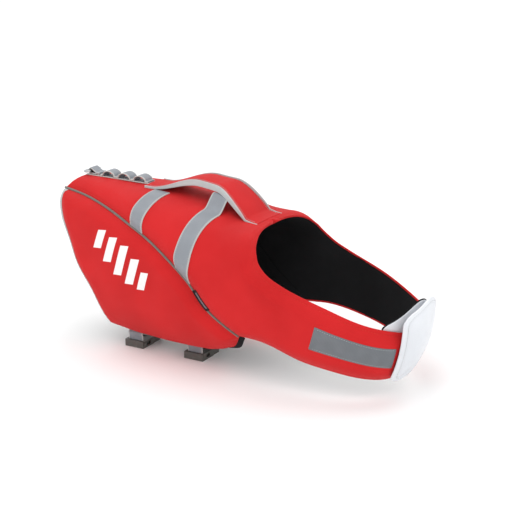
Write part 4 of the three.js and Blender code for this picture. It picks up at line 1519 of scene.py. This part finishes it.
@dataclass
class Handle:
    """The padded grab handle, arched over the back and edged with webbing."""

    palette: Palette
    rear: float = 128.0
    front: float = 308.0
    tip: float = 328.0
    crest: tuple[float, float] = (228.0, 256.0)
    half_width: float = 25.0
    flare: float = 10.0
    drape: float = 0.9
    height: float = 27.0
    thick: float = 9.0
    foot: float = 3.2
    lift: float = 0.6
    crown: float = 1.1
    corners: float = 5.0
    webbing: float = 1.6

    def station(self, share: np.ndarray) -> tuple[np.ndarray, np.ndarray, np.ndarray, np.ndarray, np.ndarray]:
        """Gives the place, top, thickness, half-width and sideways drape at shares of the handle's length.

        Args:
            share: Shares of the handle's length, from its rear end.

        Returns:
            Five rows, with one value to each share.
        """
        x = lerp(self.rear, self.tip, share)
        fall = np.clip((x - self.crest[1]) / (self.front - self.crest[1]), 0, 1)
        rise = smooth(x, self.rear + 10, self.crest[0]) * (1 - fall**2)
        left = 1 - smooth(x, self.front - 12, self.tip)
        top = back_top(x) + (self.lift + self.foot) * left + rise * self.height - 0.3 * (1 - left)
        thick = lerp(self.foot, self.thick, rise) * lerp(0.25, 1, left)
        half = self.half_width + self.flare * smooth(x, 236, self.front)
        return x, top, thick, half, self.drape * (1 - rise)

    @property
    def shares(self) -> np.ndarray:
        """The places along the handle that its pieces are made at."""
        return eased(110, 0.2)

    def build(self) -> None:
        """Makes the pad, its two bands and their stitching."""
        self.pad()
        seams = Stitching("handle_stitching", pitch=3.4, length=2.3)
        for side in Side:
            self.band(side, seams)
        seams.build(self.palette.grey_thread, "webbing")

    def pad(self) -> None:
        """Makes the padded red middle, crowned on top and puckered beside its bands."""
        x, top, thick, half, drape = self.station(self.shares)
        turn = np.linspace(0, TAU, 44, endpoint=False)
        across = np.sign(np.cos(turn)) * np.abs(np.cos(turn)) ** (2 / self.corners)
        up = np.sign(np.sin(turn)) * np.abs(np.sin(turn)) ** (2 / 3.2)
        crown = self.crown * np.maximum(up, 0) * (1 - across**2)
        puckers = 0.3 * np.abs(across[None]) ** 6 * np.sin(TAU * x[:, None] / 9.3)
        z = (top - thick / 2)[:, None] + up * thick[:, None] / 2 + crown * (thick / self.thick)[:, None]
        z += puckers * (thick / self.thick)[:, None] - drape[:, None] * across**2
        y = across * half[:, None]
        rings = np.stack([np.broadcast_to(x[:, None], y.shape), y, z], -1)
        pad = loft("handle_pad", rings)
        dress(pad, self.palette.red, stands_for=("handle_cover", "handle_core"))

    def band(self, side: Side, seams: Stitching) -> None:
        """Makes the webbing along one edge, with its three rows of stitches.

        Args:
            side: Side of the dog.
            seams: The stitching that its rows join.
        """
        x, top, thick, half, drape = self.station(self.shares)
        middle = top - thick / 2 - drape
        centre = np.stack([x, side.value * (half + 0.25 + self.webbing / 2), middle], -1)
        tall = (thick + 0.5) / 2
        profile = np.stack([np.stack(np.broadcast_arrays(a * self.webbing / 2, b * tall), -1)
                            for a, b in BAND_PROFILE], axis=1)
        band = sweep(f"handle_band_{side.word}", centre, facing_up(len(x)), profile)
        dress(band, self.palette.binding, stands_for=(f"handle_webbing_{side.word}",))
        for level in (-0.62, 0.62):
            line = centre + np.stack([0 * x, np.full_like(x, side.value * self.webbing / 2), level * tall], -1)
            seams.run(line[6:-6], np.tile([0, side.value, 0.0], (len(x) - 12, 1)), 0.05)
        inner = np.stack([x, side.value * (half - 4.0), top + 0.15 - 0.7 * drape], -1)
        seams.run(inner[4:-4], facing_up(len(x) - 8), 0.05)


@dataclass
class DaisyChain:
    """Webbing tacked down in arches along the rear of the back, with a leash ring."""

    palette: Palette
    width: float = 20.0
    start: float = 34.0
    pitch: float = 29.0
    arches: int = 3
    rise: float = 7.5
    bar_x: float = 15.0
    stock: float = 3.6
    webbing: float = 1.6
    lift: float = 0.6
    gap: float = 0.3
    tack: float = 0.12

    def build(self) -> None:
        """Makes the base, the arches, the tab and their tacks."""
        x = np.linspace(self.bar_x - 8, self.start + self.pitch * self.arches + 5, 80)
        centre = np.stack([x, 0 * x, back_top(x) + self.lift + self.webbing / 2 - 0.4], -1)
        base = ribbon("daisy_base_webbing", centre, facing_up(len(x)), self.width, self.webbing)
        dress(base, self.palette.narrow, stands_for=("daisy_base",))
        self.loops()
        self.tacks()
        self.tab()

    def loops(self) -> None:
        """Makes the row of arches from one webbing."""
        steps = 34
        phase = np.concatenate([np.arange(self.arches * steps) % steps / steps, [1.0]])
        x = self.start + self.pitch * np.arange(self.arches * steps + 1) / steps
        inside = np.clip((phase - self.tack) / (1 - 2 * self.tack), 0, 1)
        rise = np.sqrt(np.maximum(np.sin(math.pi * inside), 0))
        foot = back_top(x) + self.lift + self.webbing * 1.5 - 0.1
        line = curve(np.stack([x, 0 * x, foot + self.rise * rise], -1)[::2], 150)
        loops = ribbon("daisy_arches", line, facing_up(len(line)), self.width, self.webbing)
        dress(loops, self.palette.narrow, stands_for=("daisy_loops",))

    def tacks(self) -> None:
        """Sews two rows across the webbing at the foot of each arch."""
        tacks = Stitching("daisy_tacks", pitch=1.5, length=1.7, radius=0.38)
        across = np.linspace(-self.width / 2 + 1.5, self.width / 2 - 1.5, 24)
        for k in range(self.arches + 1):
            for shift in (-1.6, 0.4):
                x = np.full(len(across), self.start + self.pitch * k + shift)
                row = np.stack([x, across, back_top(x) + self.lift + self.webbing * 2], -1)
                tacks.run(row, facing_up(len(row)))
        tacks.build(self.palette.grey_thread, "webbing")

    def tab(self) -> None:
        """Makes the loop of webbing that holds the ring."""
        z = float(back_top(self.bar_x)) + self.lift + self.webbing * 2 + self.gap + self.stock * 0.9
        radius = self.stock * 0.9 + self.webbing / 2
        turn = np.linspace(math.pi / 2, 1.5 * math.pi, 24)
        bend = np.stack([self.bar_x + radius * np.cos(turn), z + radius * np.sin(turn)], -1)
        start = [[self.start - 3, z - radius + self.webbing + self.gap],
                 [self.start - 9, z - radius + self.webbing + self.gap],
                 [self.bar_x + 1.6 * radius, z - radius + self.webbing + 2.4]]
        finish = [[self.bar_x + 1.6 * radius, z - radius], [self.start - 3, z - radius]]
        path = curve(np.vstack([start, bend[::3], finish]), 90)
        centre = np.stack([path[:, 0], 0 * path[:, 0], path[:, 1]], -1)
        along = unit(np.gradient(centre, axis=0))
        tab = ribbon("ring_tab_webbing", centre, np.cross(along, [0, 1, 0]), self.width - 2, self.webbing)
        dress(tab, self.palette.narrow, stands_for=("ring_tab",))


# ---------------------------------------------------------------- chest closure


FLAP_RIM = ((0.7, 0.92), (1.3, 0.7), (1.5, 0.45), (1.2, 0.2), (0.6, 0.03))


@dataclass
class Closure:
    """The padded white flap that closes the chest, its tongue and its hook and loop patches."""

    palette: Palette
    panels: Panels
    flap_start: float = 571.0
    flap_fold: float = 640.0
    thick: float = 4.8
    tongue: tuple[float, float] = (556.0, 664.0)
    tape: tuple[float, float] = (575.0, ARM_END - 2)
    corner: float = 9.0
    border: float = 6.0

    def edges(self, station: np.ndarray) -> tuple[np.ndarray, np.ndarray]:
        """Gives the angles of the closure's upper and lower edges."""
        share = np.clip((station - self.flap_start) / (self.flap_fold - self.flap_start), -0.2, 1.3)
        return 91.5 - 4.5 * np.sin(math.pi * share), 117.5 - 7 * np.sin(math.pi / 2 * share)

    def patch(self, start: float, finish: float, trim: float, steps: tuple[int, int], corner: float) -> Patch:
        """Gives the surface of a closure layer.

        Args:
            start, finish: Its stations.
            trim: Degrees that it stays inside the closure's edges.
            steps: Steps along and across.
            corner: Radius of its corners.

        Returns:
            The patch.
        """
        station = lerp(start, finish, eased(steps[0], 0.75))
        upper, lower = self.edges(station)
        near = np.minimum(station - start, finish - station)
        cut = (corner - np.sqrt(np.maximum(corner**2 - np.maximum(corner - near, 0) ** 2, 0))) / 3.3
        share = eased(steps[1])[None]
        angle = lerp((upper + trim + cut)[:, None], (lower - trim - cut)[:, None], share)
        places = np.stack([np.broadcast_to(station[:, None], angle.shape), angle], -1)
        return patch_on_form(Side.RIGHT, places)

    def inner_height(self, station: np.ndarray) -> np.ndarray:
        """Gives the height of the flap's inner face."""
        return lerp(13.4, 5.5, smooth(station, 578, 628))

    def build(self) -> None:
        """Makes the closure's layers and stitching."""
        self.flap()
        self.stitches()
        self.fold()
        self.hooks()
        self.lay_tongue()
        self.loops()

    def flap(self) -> None:
        """Makes the padded flap, flat in its border and raised inside it."""
        patch = self.patch(self.flap_start, self.flap_fold, 0, (84, 84), self.corner)
        rim = patch.rim()
        inset, _ = Padding([patch.base[np.append(rim, rim[0])]]).nearest(patch.base)
        low = self.inner_height(patch.places[:, 0])
        puff = 1.5 * smooth(inset, self.border, self.border + 9)
        welt = 0.5 * np.exp(-((inset - 2.6) / 1.9) ** 2) - 0.75 * np.exp(-((inset - self.border) / 0.9) ** 2)
        flap = shell("closure_flap_shell", patch, low + self.thick - 1.0 + puff + welt, low, FLAP_RIM)
        dress(flap, self.palette.vinyl, "closure", ("closure_flap", "closure_pad"))

    def stitches(self) -> None:
        """Sews one row round the flap's border."""
        seams = Stitching("closure_stitching", pitch=3.6, length=2.5)
        ring = self.patch(self.flap_start + 3.4, self.flap_fold - 3.4, 1.0, (60, 60), 7.0)
        loop = ring.rim()
        loop = np.append(loop, loop[0])
        height = self.inner_height(ring.places[loop, 0]) + self.thick - 0.6
        seams.run(ring.base[loop] + ring.normal[loop] * height[:, None], ring.normal[loop], 0.05)
        seams.build(self.palette.grey_thread, "closure_fabric", "closure")

    def hooks(self) -> None:
        """Makes the hook tape inside the flap."""
        hooks = self.patch(*self.tape, 4, (14, 30), 2.0)
        low = self.inner_height(hooks.places[:, 0])
        dress(shell("closure_hook_tape", hooks, low + 0.2, low - 1.5), self.palette.hooks, "closure",
              ("closure_hook_patch",))

    def loops(self) -> None:
        """Makes the loop tape on the right arm."""
        share, down = share_grid(np.linspace(0, 1, 14), np.linspace(0, 1, 30))
        places = np.stack([lerp(*self.tape, share), lerp(102.5, 115.5, down)], -1)
        base, normal = self.panels.top_of_back(Side.RIGHT, places)
        loops = Patch.of_grid(base, normal, places, places)
        dress(shell("closure_loop_tape", loops, 1.2, -0.3), self.palette.hooks,
              stands_for=("closure_loop_patch",))

    def lay_tongue(self) -> None:
        """Makes the tongue that crosses the chest behind the flap, and the lining behind it."""
        start, finish = self.tongue
        sheet = self.patch(start, finish, 1.5, (70, 40), 6.0)
        dress(shell("closure_tongue_sheet", sheet, -1.6, -2.8), self.palette.vinyl,
              stands_for=("closure_tongue",))
        backing = self.patch(start - 1, finish + 1, 1.0, (70, 40), 6.0)
        dress(shell("closure_tongue_backing", backing, -2.7, -4.2), self.palette.lining)

    def fold(self) -> None:
        """Makes the strip of vinyl that hangs the flap on the tongue in front of the left arm."""
        share, along = share_grid(np.linspace(0, 1, 12), np.linspace(0.06, 0.94, 36))
        station = self.flap_fold - 7 + 8.6 * np.sin(math.pi / 2 * share)
        upper, lower = self.edges(np.full_like(station, self.flap_fold))
        angle = lerp(upper, lower, along)
        height = lerp(self.inner_height(self.flap_fold) + 1.6, -2.2, share)
        base = TORSO.above(Side.RIGHT, station, angle, height)
        normal = unit(np.cross(np.gradient(base, axis=0), np.gradient(base, axis=1)))
        normal *= np.sign((normal * (base - TORSO.above(Side.RIGHT, station - 3, angle, height))).sum(-1).mean())
        places = np.stack([station, angle], -1)
        strip = shell("closure_fold_strip", Patch.of_grid(base, normal, places, places), 0.5, -0.5)
        dress(strip, self.palette.vinyl)


# ---------------------------------------------------------------- belly straps


@dataclass
class BellyStraps:
    """Two webbing straps under the belly."""

    palette: Palette
    places: tuple[tuple[str, float], ...] = (("rear", 120.0), ("front", 228.0))
    width: float = 25.0
    thick: float = 1.6
    housing_y: float = -54.0
    far_turn_y: float = 40.0
    housing_length: float = 30.0
    height: float = 11.0
    flat_z: float = 2.6
    weave_width: float = 26.0

    def sewn(self, side: Side, x: float) -> np.ndarray:
        """Gives the part of a strap inside a side panel's lower edge, as (y, z).

        Args:
            side: Side of the dog.
            x: Place along the belly.

        Returns:
            Three points.
        """
        edge = BELLY_EDGE.angle(x)
        points = TORSO.above(side, np.full(3, x), edge + np.array([-9, -4, 1.5]), np.full(3, -2.0))
        return points[:, 1:]

    def stub(self, x: float) -> np.ndarray:
        """Gives the path of the short strap on the right side.

        Args:
            x: Place along the belly.

        Returns:
            Points as (y, z).
        """
        bar = self.housing_y + 6
        return np.vstack([self.sewn(Side.RIGHT, x),
                          [[bar - 1, self.height + 12], [bar, self.height + 5], [bar, 2.8]]])

    def far(self, x: float) -> np.ndarray:
        """Gives the path of the long strap from the clip up to the left side.

        Args:
            x: Place along the belly.

        Returns:
            Points as (y, z).
        """
        start, turn = self.housing_y + self.housing_length + 4, self.far_turn_y
        flat = self.flat_z
        return np.vstack([[[start, flat], [(start + turn) / 2, flat], [turn - 6, flat], [turn - 1.5, flat + 4],
                           [turn - 0.5, self.height + 10]], self.sewn(Side.LEFT, x)[::-1]])

    def build(self) -> None:
        """Makes the straps."""
        shares = np.linspace(-0.5, 0.5, WEBBING_COLUMNS)
        for word, middle in self.places:
            for kind, path in (("stub", self.stub), ("far", self.far)):
                rows = np.stack([curve(path(middle + share * self.width), 70) for share in shares], axis=1)
                x = np.broadcast_to(middle + shares * self.width, rows.shape[:2])
                base = np.concatenate([x[..., None], rows], axis=-1)
                normal = unit(np.cross(np.gradient(base, axis=0), np.gradient(base, axis=1)))
                run = np.linalg.norm(np.diff(base, axis=0, prepend=base[:1]), axis=-1).cumsum(0)
                weave = np.stack([run, np.broadcast_to(shares * self.weave_width, run.shape)], -1)
                patch = Patch.of_grid(base, normal, weave, weave)
                strap = shell(f"{word}_strap_{kind}_webbing", patch, self.thick / 2, -self.thick / 2)
                dress(strap, self.palette.webbing, stands_for=(f"{word}_strap_{kind}",))

    def dress_buckles(self) -> None:
        """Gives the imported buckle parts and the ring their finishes."""
        for word, _ in self.places:
            for part in ("housing", "clip", "prong_front", "prong_rear"):
                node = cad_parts[f"{word}_buckle_{part}"]
                node.data.materials.clear()
                node.data.materials.append(self.palette.plastic)
        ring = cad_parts["leash_ring"]
        ring.data.materials.clear()
        ring.data.materials.append(self.palette.steel)


# ---------------------------------------------------------------- studio


@dataclass
class Studio:
    """A pale floor, soft lights and the camera."""

    azimuth: float = 30.0
    elevation: float = 17.0
    place: tuple[float, float, float] = (0.9395, -1.5849, 0.7072)
    lens: float = 88.47
    aim: tuple[float, float, float] = (0, 0, 0.12)
    sky: float = 1.12

    def build(self) -> None:
        """Makes the studio."""
        self.floor()
        self.world()
        self.light("key_light", (0.2, -1.6, 2.4), 1.8, 12)
        self.light("top_light", (-0.6, 0.5, 2.2), 1.4, 6)
        bpy.context.scene.view_settings.view_transform = "Standard"
        self.camera()

    def floor(self) -> None:
        """Lays the pale floor."""
        bpy.ops.object.select_all(action="DESELECT")
        bpy.ops.mesh.primitive_plane_add(size=60, location=(0, 0, 0))
        floor = bpy.context.object
        floor.name = "studio_floor"
        nodes = Nodes("pale_floor")
        speck = nodes.noise(3, 2)
        floor.data.materials.append(nodes.finish(
            Base_Color=nodes.mix(speck, (0.93, 0.93, 0.93), (0.95, 0.95, 0.95)), Roughness=0.9))

    def world(self) -> None:
        """Lights the studio evenly from all round."""
        world = bpy.data.worlds.new("soft_studio")
        bpy.context.scene.world = world
        world.use_nodes = True
        backdrop = world.node_tree.nodes["Background"]
        backdrop.inputs[0].default_value = (1, 1, 1, 1)
        backdrop.inputs[1].default_value = self.sky

    def light(self, name: str, place: tuple[float, float, float], size: float, power: float) -> None:
        """Hangs one square soft light aimed at the jacket.

        Args:
            name: The light's name.
            place: Where it hangs.
            size: Its side in metres.
            power: Its power in watts.
        """
        lamp = bpy.data.lights.new(name, "AREA")
        lamp.size, lamp.energy = size, power
        holder = bpy.data.objects.new(name, lamp)
        holder.location = place
        holder.rotation_euler = (Vector(self.aim) - Vector(place)).to_track_quat("-Z", "Y").to_euler()
        bpy.context.scene.collection.objects.link(holder)

    def camera(self) -> None:
        """Sets the camera at the catalogue's three-quarter view."""
        camera = bpy.data.objects.new("camera", bpy.data.cameras.new("camera"))
        bpy.context.scene.collection.objects.link(camera)
        a, e = math.radians(self.azimuth), math.radians(self.elevation)
        right = Vector((math.cos(a), math.sin(a), 0))
        back = Vector((math.sin(a) * math.cos(e), -math.cos(a) * math.cos(e), math.sin(e)))
        up = back.cross(right)
        camera.matrix_world = Matrix.Translation(self.place) @ Matrix((right, up, back)).transposed().to_4x4()
        camera.data.lens = self.lens
        bpy.context.scene.camera = camera


def main() -> None:
    """Builds the jacket over its frame, piece by piece."""
    logging.basicConfig(level=logging.INFO, format="%(name)s: %(message)s")
    palette = Palette()
    panels = Panels(palette)
    panels.build()
    panels.bind_inside()
    panels.sew()
    Trim(palette, panels).build()
    Handle(palette).build()
    DaisyChain(palette).build()
    Closure(palette, panels).build()
    straps = BellyStraps(palette)
    straps.build()
    straps.dress_buckles()
    Studio().build()


if __name__ == "__main__":
    main()
